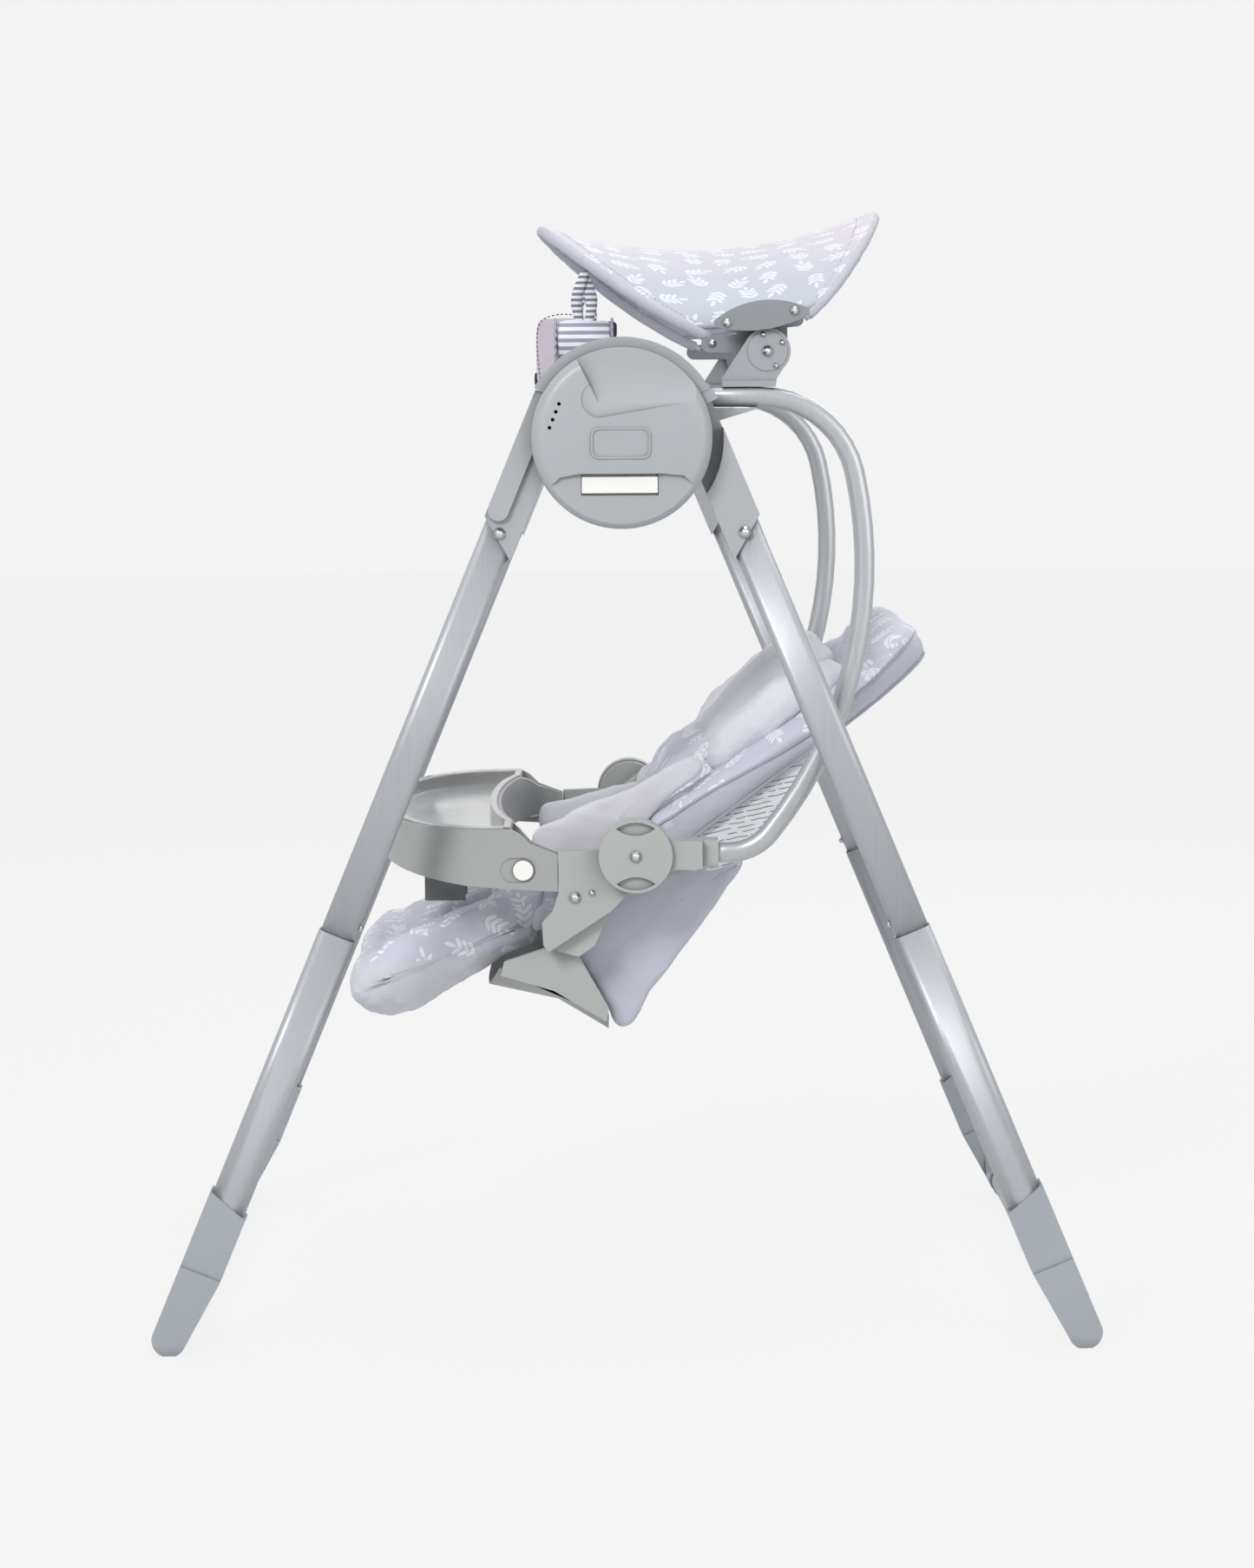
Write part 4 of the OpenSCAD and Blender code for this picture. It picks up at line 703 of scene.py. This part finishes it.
def build_canopy():
    na, nt = 96, 40
    verts, faces = [], []
    for i in range(na + 1):
        a = math.radians(-84 + 168 * i / na)
        for j in range(nt + 1):
            t = j / nt
            p = canopy_point(a, t, 0.8)
            q = Vector((p.x * 18, p.y * 11, 3.0))
            edge = min(1.0, 4 * t, 4 * (1 - t))
            p.z += 0.0016 * edge * mnoise.fractal(q, 0.9, 2.0, 3)
            # short gathers that run in from the bows' sleeves
            near_bow = math.exp(-t * 9) + math.exp(-(1 - t) * 9)
            p.z += 0.0007 * near_bow * math.sin(math.degrees(a) * 1.9 + 3 * mnoise.noise(q))
            verts.append(p)
    w = nt + 1
    for i in range(na):
        for j in range(nt):
            faces.append((i * w + j, (i + 1) * w + j, (i + 1) * w + j + 1, i * w + j + 1))
    ob = make_object("canopy_cloth", verts, faces, None, M_CANOPY)
    # the sheet's own coordinates, in metres: across the swing, and from the front bow to the rear one
    uv = ob.data.uv_layers.new(name="cloth")
    across, along = [0.0], []
    for i in range(1, na + 1):
        across.append(across[-1] + (verts[i * w + nt // 2] - verts[(i - 1) * w + nt // 2]).length)
    for i in range(na + 1):
        row = [0.0]
        for j in range(1, nt + 1):
            row.append(row[-1] + (verts[i * w + j] - verts[i * w + j - 1]).length)
        along.append([r - row[-1] / 2 for r in row])
    for loop in ob.data.loops:
        i, j = divmod(loop.vertex_index, w)
        uv.data[loop.index].uv = (across[i], along[i][j])
    thicken(ob, CLOTH_THICK, 0.0)
    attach(ob, "canopy")
    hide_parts("canopy_fabric")
    # sleeves over the bows and their stitching
    for name, fn, root in (("front", front_bow, 0), ("rear", rear_bow, 1)):
        path = [fn(math.radians(-88 + 176 * k / 80)) * MM for k in range(81)]
        sl = tube(f"canopy_sleeve_{name}", path, 0.0048 - 0.0008 * root, "canopy", M_SLEEVE, 14)
        rumple(sl, 0.0006, 0.012, 5 + root)
        t0 = 0.055 if root == 0 else 0.945
        seam = [canopy_point(math.radians(-82 + 164 * k / 60), t0, 1.8) for k in range(61)]
        st = dashes(f"canopy_stitch_{name}", seam, 0.0032, 0.0016, 0.00035, ALONG_Z, "canopy", M_BIND)
    # the side edges' binding, under the lens plates
    for s, side in SIDES:
        edge = [canopy_point(math.radians(84 * s), t / 20.0, 0.8) for t in range(21)]
        ed = tube(f"canopy_side_binding_{side}", edge, 0.0022, "canopy", M_BIND, 8)


build_canopy()


# ---------- seat cushions ----------
BACK_HALF, BACK_BEND, BACK_END = 212.0, 98.0, 313.0
BAND_FOOT = 22
END_ROUND = 2.4


def back_half_width(d):
    """Straight sides, and a quarter round at either upper corner."""
    k = min(max((d - (BACK_END - BACK_BEND)) / BACK_BEND, 0.0), 1.0)
    return BACK_HALF - BACK_BEND + BACK_BEND * math.sqrt(max(1 - k * k, 0.0))


def smooth(t):
    return t * t * (3 - 2 * t)


def clip(t):
    return min(max(t, 0), 1)


def lerp_table(x, table):
    """Eases from value to value between the places in the table."""
    if x <= table[0][0]:
        return table[0][1]
    for (a, va), (b, vb) in zip(table, table[1:]):
        if x <= b:
            return va + (vb - va) * smooth((x - a) / (b - a))
    return table[-1][1]


def back_form(name, d0, d1, half, top, bottom, material, stations, count, n, crown):
    """A cushion lofted along the backrest: half(d), top(d), bottom(d) in millimetres, ends rounded."""
    loop = superloop(count, n)
    rings = []
    for i in range(stations + 1):
        u = i / stations
        # stations crowd at the ends so that they close round
        d = d0 + (d1 - d0) * (0.5 - 0.5 * math.cos(math.pi * u))
        thick = (top(d) - bottom(d)) / 2
        mid = (top(d) + bottom(d)) / 2
        edge = min(d - d0, d1 - d) / max(thick, 1)
        close = math.sqrt(max(1 - (1 - min(edge, 1.0)) ** 2, 0.0004))
        w = half(d)
        wc = w - thick * (1 - close) * 0.6
        ring = []
        for c, s in loop:
            y = wc * c
            rise = crown * (1 - (y / w) ** 2) if s > 0 else 0.0
            ring.append(back_pt(d, mid + thick * close * s + rise * close * s, y))
        rings.append(ring)
    return loft(name, rings, None, material, level=0)


def build_backrest():
    top = lambda d: lerp_table(d, [(20, 19), (60, 15), (190, 8), (250, 8), (313, 12)])
    bottom = lambda d: lerp_table(d, [(10, -23), (200, -24), (274, -27), (313, -24)])
    ob = back_form("back_cushion", 14, 316, back_half_width, top, bottom, M_LILAC, 56, 112, 3.2, crown=9)

    def dent(p):
        """Quilted lines on the face: one down either side, and one across the head."""
        q = Vector((p.x - FOOT_X * MM, 0, p.z - FOOT_Z * MM))
        d = (q.x * COS_BACK + q.z * SIN_BACK) / MM
        off = (-q.x * SIN_BACK + q.z * COS_BACK) / MM
        v = 0.0
        if off > 0:
            for y0 in (-165, 165):
                v -= 0.005 * math.exp(-((p.y / MM - y0) / 7.0) ** 2)
            v -= 0.004 * math.exp(-((d - 262) / 6.0) ** 2)
        return v

    displace(ob, dent)
    soften(ob, 0.0022, 0.06, 3, (0.7, 1.3, 1), 0.0008, 0.02)
    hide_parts("seat_pad", "back_tube")

    # the plain side band with piping along both edges, round the whole back
    band_top = lambda d: lerp_table(d, [(30, 4), (45, 2.5), (190, -12), (250, -8), (313, -4)])

    def rim(off_fn, grow):
        """One edge of the band, from one foot of the back over the head to the other."""
        radius = BACK_BEND + grow
        corner_d, corner_y = BACK_END - BACK_BEND, BACK_HALF - BACK_BEND
        far = corner_d + radius
        left = [(d, back_half_width(d) + grow) for d in (BAND_FOOT + 192 * i / 30 for i in range(31))]
        for i in range(1, 12):
            a = math.radians(90 * i / 12)
            left.append((corner_d + radius * math.sin(a), corner_y + radius * math.cos(a)))
        left = [back_pt(d, off_fn(d), -y) for d, y in left]
        head = [back_pt(far, off_fn(far), -112 + 224 * i / 20) for i in range(21)]
        return left + head + [Vector((p.x, -p.y, p.z)) for p in reversed(left)]

    upper = rim(band_top, 0.2)
    mid1 = rim(lambda d: band_top(d) * 0.65 - 23 * 0.35, 1.7)
    mid2 = rim(lambda d: band_top(d) * 0.3 - 23 * 0.7, 1.2)
    lower = rim(lambda d: -24, -3.5)
    under = rim(lambda d: -26.5, -12)
    rows = [upper, mid1, mid2, lower, under]
    n = len(upper)
    verts = [p for r in rows for p in r]
    faces = [(a, a + 1, a + 1 + n, a + n) for i in range(4) for a in range(i * n, i * n + n - 1)]
    band = make_object("back_side_band", verts, faces, None, M_LILAC_PLAIN)
    subsurf(band, 2)
    thicken(band, 0.0012, 1.0)
    rumple(band, 0.0009, 0.03, 9)
    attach(band, "seat")
    for name, path in (("upper", upper), ("lower", lower)):
        piping = tube(f"back_piping_{name}", path, 0.0015, "seat", M_BIND, 8)


def profile_cushion(name, outline, half, material, seed, corner=34.0):
    """A cushion with one profile (x, z in millimetres) across the swing, rounded in plan at its two ends."""
    rim_pts = outline_points(outline, 84)
    # the spine that the ends close on: each rim point pairs with the one across the profile
    n = len(rim_pts)
    rings = []
    for i in range(49):
        u = -math.cos(math.pi * i / 48)
        y = half * u
        edge = min((half - abs(y)) / corner, 1.0)
        k = max(1 - (1 - edge) ** END_ROUND, 0.0004) ** (1 / END_ROUND)
        ring = []
        for j, p in enumerate(rim_pts):
            q = rim_pts[(n - j) % n]
            spine = p.lerp(q, 0.5)
            ring.append(Vector((spine.x + (p.x - spine.x) * k, y * MM, spine.z + (p.z - spine.z) * k)))
        rings.append(ring)
    ob = loft(name, rings, None, material)
    soften(ob, 0.003, 0.05, seed, (1, 1.2, 1), 0.0009, 0.016)
    return ob


BODY_OUTLINE = [(-46, 376), (-20, 377), (2, 379), (16, 396), (34, 432)] + [
    back_xz(*p) for p in ((52, 6), (80, 4), (104, 6), (112, 24), (103, 31), (84, 31), (58, 29))] + [
    (14, 444), (3, 424), (-8, 412), (-30, 405), (-46, 400), (-53, 389)]
SEAT_OUTLINE = [(-79, 350), (-40, 353), (0, 358), (24, 380), (40, 412), (58, 448), (66, 468), (50, 476),
                (32, 452), (16, 412), (2, 384), (-10, 377), (-44, 375), (-76, 372), (-84, 362)]
WAIST_OUTLINE = [(-80, 441), (-56, 455), (-23, 471), (12, 486), (42, 502), (62, 509), (70, 499), (54, 484),
                 (36, 468), (18, 446), (2, 414), (-30, 394), (-74, 394)]
WAIST_FOOT = 394


def build_insert():
    # head cushion
    top = lambda d: lerp_table(d, [(100, 29), (122, 35), (160, 42), (196, 47), (225, 45), (240, 40)])
    bot = lambda d: lerp_table(d, [(98, 8), (240, 12)])
    ob = back_form("insert_head_cushion", 99, 243, lambda d: 142 - 30 * max((d - 190) / 53, 0) ** 2,
                   top, bot, M_WHITE_CLOTH, 36, 80, 2.6, crown=3)
    soften(ob, 0.003, 0.05, 21, (1, 1.2, 1), 0.0008, 0.015)
    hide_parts("insert_pad")
    # body cushion, with print: it lies on the seat and turns up along the back
    body = profile_cushion("insert_body_cushion", BODY_OUTLINE, 136.0, M_LILAC, 23)
    # the seat's own bottom, which carries on down from the back cushion to the front edge
    seat = profile_cushion("seat_bottom_cushion", SEAT_OUTLINE, 178.0, M_LILAC, 27, corner=26.0)
    # side bolsters between the insert and the near and far edges
    loop = superloop(40, 2.4)
    for s, side in SIDES:
        rings = []
        for i in range(33):
            u = i / 32
            d = 92 + 150 * u
            k = math.sqrt(max(1 - abs(2 * u - 1) ** 4, 0.001))
            r1, r2 = 26 * k + 1, 18 * k + 1
            off = lerp_table(d, [(92, 15), (130, 20), (190, 21), (238, 14)])
            y = s * (165 - 8 * u)
            rings.append([back_pt(d, off + r2 * sn, y + r1 * c) for c, sn in loop])
        b = loft(f"side_bolster_{side}", rings, None, M_WHITE_CLOTH)
        rumple(b, 0.0035, 0.045, 30 + s, (1, 1, 1))
        rumple(b, 0.0008, 0.014, 33 + s)
        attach(b, "seat")
        # the plain waist panel that rises from the tray's end to the side of the back;
        # the one on the far side is tucked down behind its side plate
        tuck = 1.0 if s < 0 else 0.55
        rim_pts = outline_points([(x, WAIST_FOOT + (z - WAIST_FOOT) * tuck) for x, z in WAIST_OUTLINE], 72)
        cen = sum(rim_pts, Vector()) / len(rim_pts)
        rings = []
        for k, y in ((THIN, 0.2), (0.35, 0.1), (0.7, 0.35), (0.9, 1.2), (0.985, 3.0), (1.0, 6.0),
                     (0.985, 9.0), (0.9, 11.0), (0.7, 12.0), (0.35, 12.4), (THIN, 12.5)):
            rings.append([Vector((cen.x + (p.x - cen.x) * k, s * (202 - y) * MM,
                                  cen.z + (p.z - cen.z) * k)) for p in rim_pts])
        wp = loft(f"waist_panel_{side}", rings, None, M_WAIST)
        rumple(wp, 0.003, 0.05, 41 + s, (1, 0.2, 1))
        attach(wp, "seat")


LEG_OUTLINE = [(-76, 389), (-100, 390), (-124, 388), (-150, 380), (-171, 370), (-202, 358), (-226, 343),
               (-240, 326), (-247, 306), (-247, 290), (-239, 274), (-222, 265), (-200, 265), (-178, 274),
               (-152, 291), (-130, 307), (-108, 320), (-89, 328), (-78, 334), (-74, 360)]
LEG_HALF = 172.0
LEG_SLOPE = 0.36
POST_LOW = 340.0


def build_legrest():
    rim_pts = outline_points(LEG_OUTLINE, 96)
    cen = Vector((-0.155, 0, 0.330))
    rings = []
    for i in range(57):
        u = -math.cos(math.pi * i / 56)
        k = max(max((1 - abs(u) ** 5.0), 0.0) ** 0.42, 0.03)
        # near the ends the form shrinks towards its middle line, which runs along the slope
        ring = []
        for p in rim_pts:
            out = p.x - cen.x
            spine = Vector((cen.x + out * (0.86 + 0.14 * k), 0, cen.z + out * LEG_SLOPE))
            q = spine.lerp(p, k)
            ring.append(Vector((q.x, LEG_HALF * u * MM, q.z)))
        rings.append(ring)
    ob = loft("legrest_cushion", rings, None, M_LILAC)
    me = ob.data
    for vt in me.vertices:
        x, y, z = (v / MM for v in vt.co)
        mid = 330 + (x + 155) * LEG_SLOPE
        # the middle of the top hangs lower between its two ends
        wide = smooth(clip((158 - abs(y)) / 46))
        along = clip((-92 - x) / 34) * clip((x + 246) / 30)
        far = clip((y - 20) / 120)
        vt.co.z -= (26 * wide + 14 * far * (1 - wide)) * MM * along * clip((z - mid) / 22)
        # and a dip takes the post
        z = vt.co.z / MM
        if abs(y) < 40 and z > max(mid, POST_LOW) and x < -100:
            vt.co.z -= (z - POST_LOW) * MM * clip(1 - (abs(y) - 27) / 13) * clip((-100 - x) / 40)
    me.update()
    # the print stops at a seam along the front: below it the cushion is plain
    me.materials.append(M_HEM)
    for poly in me.polygons:
        x, y, z = (v / MM for v in poly.center)
        if z < 318 + (x + 247) * 0.10 and poly.normal.z < 0.55:
            poly.material_index = 1
    soften(ob, 0.003, 0.05, 51, (1.2, 0.7, 1.2), 0.001, 0.016)
    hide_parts("legrest_pad")


MESH_OUTLINE = [back_xz(*p) for p in ((32, -20), (80, -20), (140, -20), (206, -22), (200, -36))] + [
    (166, 492), (140, 460), (112, 428), (92, 408), (60, 404), (44, 414)]
SKIRT_OUTLINE = [(-60, 395), (-20, 402), (40, 413), (100, 418), (104, 410), (88, 386), (70, 360), (56, 342),
                 (44, 325), (32, 309), (22, 295), (14, 278), (4, 268), (-8, 269), (-15, 285), (-34, 318),
                 (-56, 352)]
COVER_EDGE = 7.0


def taut_cover(name, outline, half, material, count, seed, amp):
    """A taut cover: flat side faces with a small rounded edge all round."""
    rim_pts = outline_points(outline, count)
    cen = sum(rim_pts, Vector()) / len(rim_pts)
    nor = []
    for i, p in enumerate(rim_pts):
        t = rim_pts[(i + 1) % count] - rim_pts[i - 1]
        v = Vector((t.z, 0, -t.x)).normalized()
        nor.append(v if v.dot(p - cen) > 0 else -v)
    # share of the way out from the middle, offset outwards, and how far from the middle plane
    rows = [(k, -COVER_EDGE, half) for k in (0.04, 0.3, 0.55, 0.78, 0.92)]
    for a in map(math.radians, (0, 30, 60, 90)):
        rows.append((1.0, -COVER_EDGE * (1 - math.sin(a)), half - COVER_EDGE * (1 - math.cos(a))))
    rows += [(1.0, 0.0, half * f) for f in (0.86, 0.7, 0.5, 0.25)]
    rows += [(1.0, 0.0, 0.0)] + [(k, o, -y) for k, o, y in reversed(rows)]
    rings = [[Vector((cen.x + (p.x + v.x * o * MM - cen.x) * k, -y * MM,
                      cen.z + (p.z + v.z * o * MM - cen.z) * k)) for p, v in zip(rim_pts, nor)]
             for k, o, y in rows]
    ob = loft(name, rings, None, material)
    soften(ob, amp, 0.07, seed, (0.6, 1, 1), amp * 0.35, 0.02)
    return ob


def build_pouch():
    mesh = taut_cover("back_mesh_panel", MESH_OUTLINE, 204, M_MESH, 80, seed=61, amp=0.0012)
    skirt = taut_cover("seat_skirt_cloth", SKIRT_OUTLINE, 203, M_LILAC_PLAIN, 84, seed=65, amp=0.0022)
    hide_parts("seat_skirt")


def build_harness():
    base = Vector((-48 * MM, 0, 400 * MM))
    slope = math.atan2(8, 54)
    ux = Vector((math.cos(slope), 0, math.sin(slope)))
    uz = Vector((-math.sin(slope), 0, math.cos(slope)))

    def above(a, y, h):
        """A point a along the seat's slope, y across it and h above it, in millimetres."""
        return base + ux * a * MM + Vector((0, y * MM, 0)) + uz * h * MM

    for s, side in SIDES:
        path = resample([above(a, s * y, h) for a, y, h in
                         ((40, 12, 9), (36, 24, 5), (32, 42, 3.2), (30, 58, 2.4))], 16, False)
        strap(f"waist_strap_{side}", path, 0.026, 0.0016, ux, "seat", M_STRAP)
    path = resample([above(a, 0, h) for a, h in ((8, 2), (16, 5), (26, 8), (40, 9))], 16, False)
    strap("crotch_strap", path, 0.030, 0.0016, ALONG_Y, "seat", M_STRAP)
    layers = ((2.0, 0.80), (2.4, 0.95), (4.0, 1.0), (9.0, 1.0), (10.6, 0.93), (11.2, 0.80), (11.4, THIN))
    loop = superloop(32, 3.0)
    rings = [[above(32 + 15 * c * k, 19 * s * k, h) for c, s in loop] for h, k in layers]
    buckle = loft("harness_buckle", rings, "seat", M_BUCKLE)
    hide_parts("harness")


build_backrest()
build_insert()
build_legrest()
build_pouch()
build_harness()


# ---------- toys ----------
TOY_ANGLE = math.radians(41)
TOY_AT = front_bow(TOY_ANGLE)


def toy_loop(name, y, top, bottom, body):
    """A padded loop of two strands that cross under the bow and at the toy."""
    made = []
    for k, side in ((0, -1), (1, 1)):
        path = []
        for i in range(25):
            t = i / 24
            bulge, cross = math.sin(math.pi * t) ** 0.8, math.cos(math.pi * t)
            path.append(Vector((TOY_AT.x + side * (6.2 * bulge - 2.0 * cross), y + side * 2.2 * cross,
                                top + (bottom - top) * t)) * MM)
        ob = tube(f"{name}_strand_{k + 1}", path, lambda t: 0.0052 * (0.72 + 0.28 * math.sin(math.pi * t)),
                  None, M_LOOP, 16, flat=0.6, ref=ALONG_Y)
        subsurf(ob, 1)
        apply_modifiers(ob)
        rumple(ob, 0.0006, 0.010, 71 + k)
        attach(ob, body)
        made.append(ob)
    return made


def pillow(name, x, z, y, count, n, layers, body, material):
    """A flat stuffed form between two values of x and two of z, through layers of (share of its size,
    offset in y)."""
    cx, cz, w, h = (x[0] + x[1]) / 2, (z[0] + z[1]) / 2, (x[1] - x[0]) / 2, (z[1] - z[0]) / 2
    loop = superloop(count, n)
    rings = [[Vector((cx + w * k * c, y + dy, cz + h * k * s)) * MM for c, s in loop] for k, dy in layers]
    return loft(name, rings, body, material, level=0)


# radius and offset along the roller
RUFFLE = ((0.5, -1.0), (7, -1.5), (12, -1.3), (16, -0.6), (19, -0.3),
          (20.6, 0.0), (19, 0.9), (14, 1.2), (0.5, 1.2))
# layers for pillow
PAGE = ((THIN, -1.52), (0.6, -1.44), (0.9, -1.16), (0.985, -0.48), (1.0, 0.0),
        (0.985, 0.48), (0.9, 1.16), (0.6, 1.44), (THIN, 1.52))
TAG = ((THIN, -1.6), (0.8, -1.5), (0.97, -1.0), (1.0, 0), (0.97, 1.0), (0.8, 1.5), (THIN, 1.6))


def build_toys():
    lo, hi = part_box("ring_toy")
    yl = -TOY_AT.y
    rz = (lo.z + 21 * MM) / MM
    lp = toy_loop("ring_loop", yl, hi.z / MM - 3.0, rz + 15.0, "ring_toy")
    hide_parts("ring_toy")
    # the stuffed roller, a little waisted at its seams, with a ruffled disc at either end
    rings = []
    for i in range(33):
        u = i / 32
        x = TOY_AT.x - 23.5 + 47 * u
        r = 18.6 * (1 - 0.10 * abs(2 * u - 1) ** 4) * (1 if 0 < i < 32 else 0.92)
        rings.append([Vector((x, yl + r * c, rz + r * s)) * MM for c, s in circle(48)])
    ro = loft("toy_roller", rings, None, M_ROLLER, level=0)
    rumple(ro, 0.0009, 0.018, 73)
    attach(ro, "ring_toy")
    for name, x in (("front", TOY_AT.x - 25.6), ("rear", TOY_AT.x + 24.2)):
        rings = []
        for r, dx in RUFFLE:
            wave = 0.9 * (r / 20) ** 2
            rings.append([Vector((x + dx + wave * math.sin(2 * math.pi * k / 6), yl + r * c, rz + r * s)) * MM
                          for k, (c, s) in enumerate(circle(96))])
        d = loft(f"toy_ruffle_{name}", rings, "ring_toy", M_RUFFLE, level=0)
    # cloth book: covers, pages, stitched edges and tags
    lo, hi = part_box("cloth_book")
    yb = TOY_AT.y
    top = hi.z / MM
    for ob in toy_loop("book_loop", yb, top - 3.0, top - 50, "cloth_book"):
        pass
    bx0, bx1 = TOY_AT.x - 47, TOY_AT.x + 5.5
    bz0 = lo.z / MM + 8.5
    bz1 = bz0 + 67
    for i, (yo, mat) in enumerate(((-5.0, M_BOOK), (-1.7, M_PAGE), (1.7, M_PAGE), (5.0, M_BOOK))):
        less = 0 if i in (0, 3) else 1.5
        pg = pillow(f"book_page_{i}", (bx0 + less, bx1 - less), (bz0 + less, bz1 - less), yb + yo,
                    56, 7.0, PAGE, None, mat)
        rumple(pg, 0.0008, 0.02, 80 + i)
        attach(pg, "cloth_book")
        if i == 0:
            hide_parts("cloth_book")
    sx0, sx1, sz0, sz1 = bx0 + 3.5, bx1 - 3.5, bz0 + 3.5, bz1 - 3.5
    for name, yo in (("front", -7.0), ("back", 7.0)):
        path = [Vector((x, yb + yo * 0.97, z)) * MM for x, z in
                ((sx0, sz0), (sx1, sz0), (sx1, sz1), (sx0, sz1), (sx0, sz0))]
        st = dashes(f"book_stitch_{name}", path, 0.0026, 0.0014, 0.0004, ALONG_Y, "cloth_book", M_TAG)
    for name, x, z in (("upper", (TOY_AT.x + 5.6, TOY_AT.x + 31), (bz1 - 20, bz1 - 3.0)),
                       ("lower", (TOY_AT.x - 49.5, TOY_AT.x - 39.4), (bz0 + 2, bz0 + 15))):
        tg = pillow(f"book_tag_{name}", x, z, yb, 40, 5.0, TAG, "cloth_book", M_TAG)


build_toys()


# ---------- stage ----------
PALE = rgb(243, 243, 243)
LIGHT_AIM = Vector((0, 0, 0.6))


def light(name, loc, energy, size):
    d = bpy.data.lights.new(name, "AREA")
    d.energy = energy
    d.shape = "DISK"
    d.size = size
    o = bpy.data.objects.new(name, d)
    bpy.context.scene.collection.objects.link(o)
    o.location = loc
    o.rotation_euler = (LIGHT_AIM - Vector(loc)).to_track_quat("-Z", "Y").to_euler()


light("key", (-1.5, -2.7, 2.5), 66, 1.1)
light("fill", (2.2, -2.4, 1.4), 24, 2.0)
light("top", (0.3, 0.3, 3.2), 34, 2.4)
light("rim", (1.0, 2.6, 1.8), 18, 1.6)


def shader(tree, kind, color, strength=None):
    n = tree.nodes.new(kind)
    n.inputs["Color"].default_value = color
    if strength is not None:
        n.inputs["Strength"].default_value = strength
    return n.outputs[0]


def join(tree, kind, *parts):
    n = tree.nodes.new(kind)
    for i, part in enumerate(parts):
        tree.links.new(part, n.inputs[i])
    return n.outputs[0]


def seen(tree):
    """1 for the rays that show a thing: from the camera, through the clear parts and in the shine."""
    ray = tree.nodes.new("ShaderNodeLightPath").outputs
    fac = ray["Is Camera Ray"]
    for kind in ("Is Transmission Ray", "Is Glossy Ray"):
        n = tree.nodes.new("ShaderNodeMath")
        n.operation = "MAXIMUM"
        tree.links.new(fac, n.inputs[0])
        tree.links.new(ray[kind], n.inputs[1])
        fac = n.outputs[0]
    return fac


# the room: a soft light for the object, a pale backdrop for the eye
world = bpy.data.worlds.new("world")
bpy.context.scene.world = world
world.use_nodes = True
wt = world.node_tree
wt.nodes.clear()
ambient = shader(wt, "ShaderNodeBackground", (0.95, 0.97, 1.0, 1), 0.50)
backdrop = shader(wt, "ShaderNodeBackground", PALE, 1.0)
wt.links.new(join(wt, "ShaderNodeMixShader", seen(wt), ambient, backdrop),
             wt.nodes.new("ShaderNodeOutputWorld").inputs["Surface"])

# the floor: grey to the light, pale with a faint shadow to the eye
floor_mat = bpy.data.materials.new("floor")
floor_mat.use_nodes = True
ft = floor_mat.node_tree
ft.nodes.clear()
shadow = shader(ft, "ShaderNodeBsdfDiffuse", (0.05, 0.05, 0.05, 1))
glow = shader(ft, "ShaderNodeEmission", PALE, 0.955)
bounce = shader(ft, "ShaderNodeBsdfDiffuse", (0.75, 0.75, 0.75, 1))
ft.links.new(join(ft, "ShaderNodeMixShader", seen(ft), bounce, join(ft, "ShaderNodeAddShader", shadow, glow)),
             ft.nodes.new("ShaderNodeOutputMaterial").inputs["Surface"])
FLOOR_HALF = 14.0
corners = [(x * FLOOR_HALF, y * FLOOR_HALF, 0) for x, y in ((-1, -1), (1, -1), (1, 1), (-1, 1))]
floor = make_object("floor", corners, [(0, 1, 2, 3)], None, floor_mat, False)
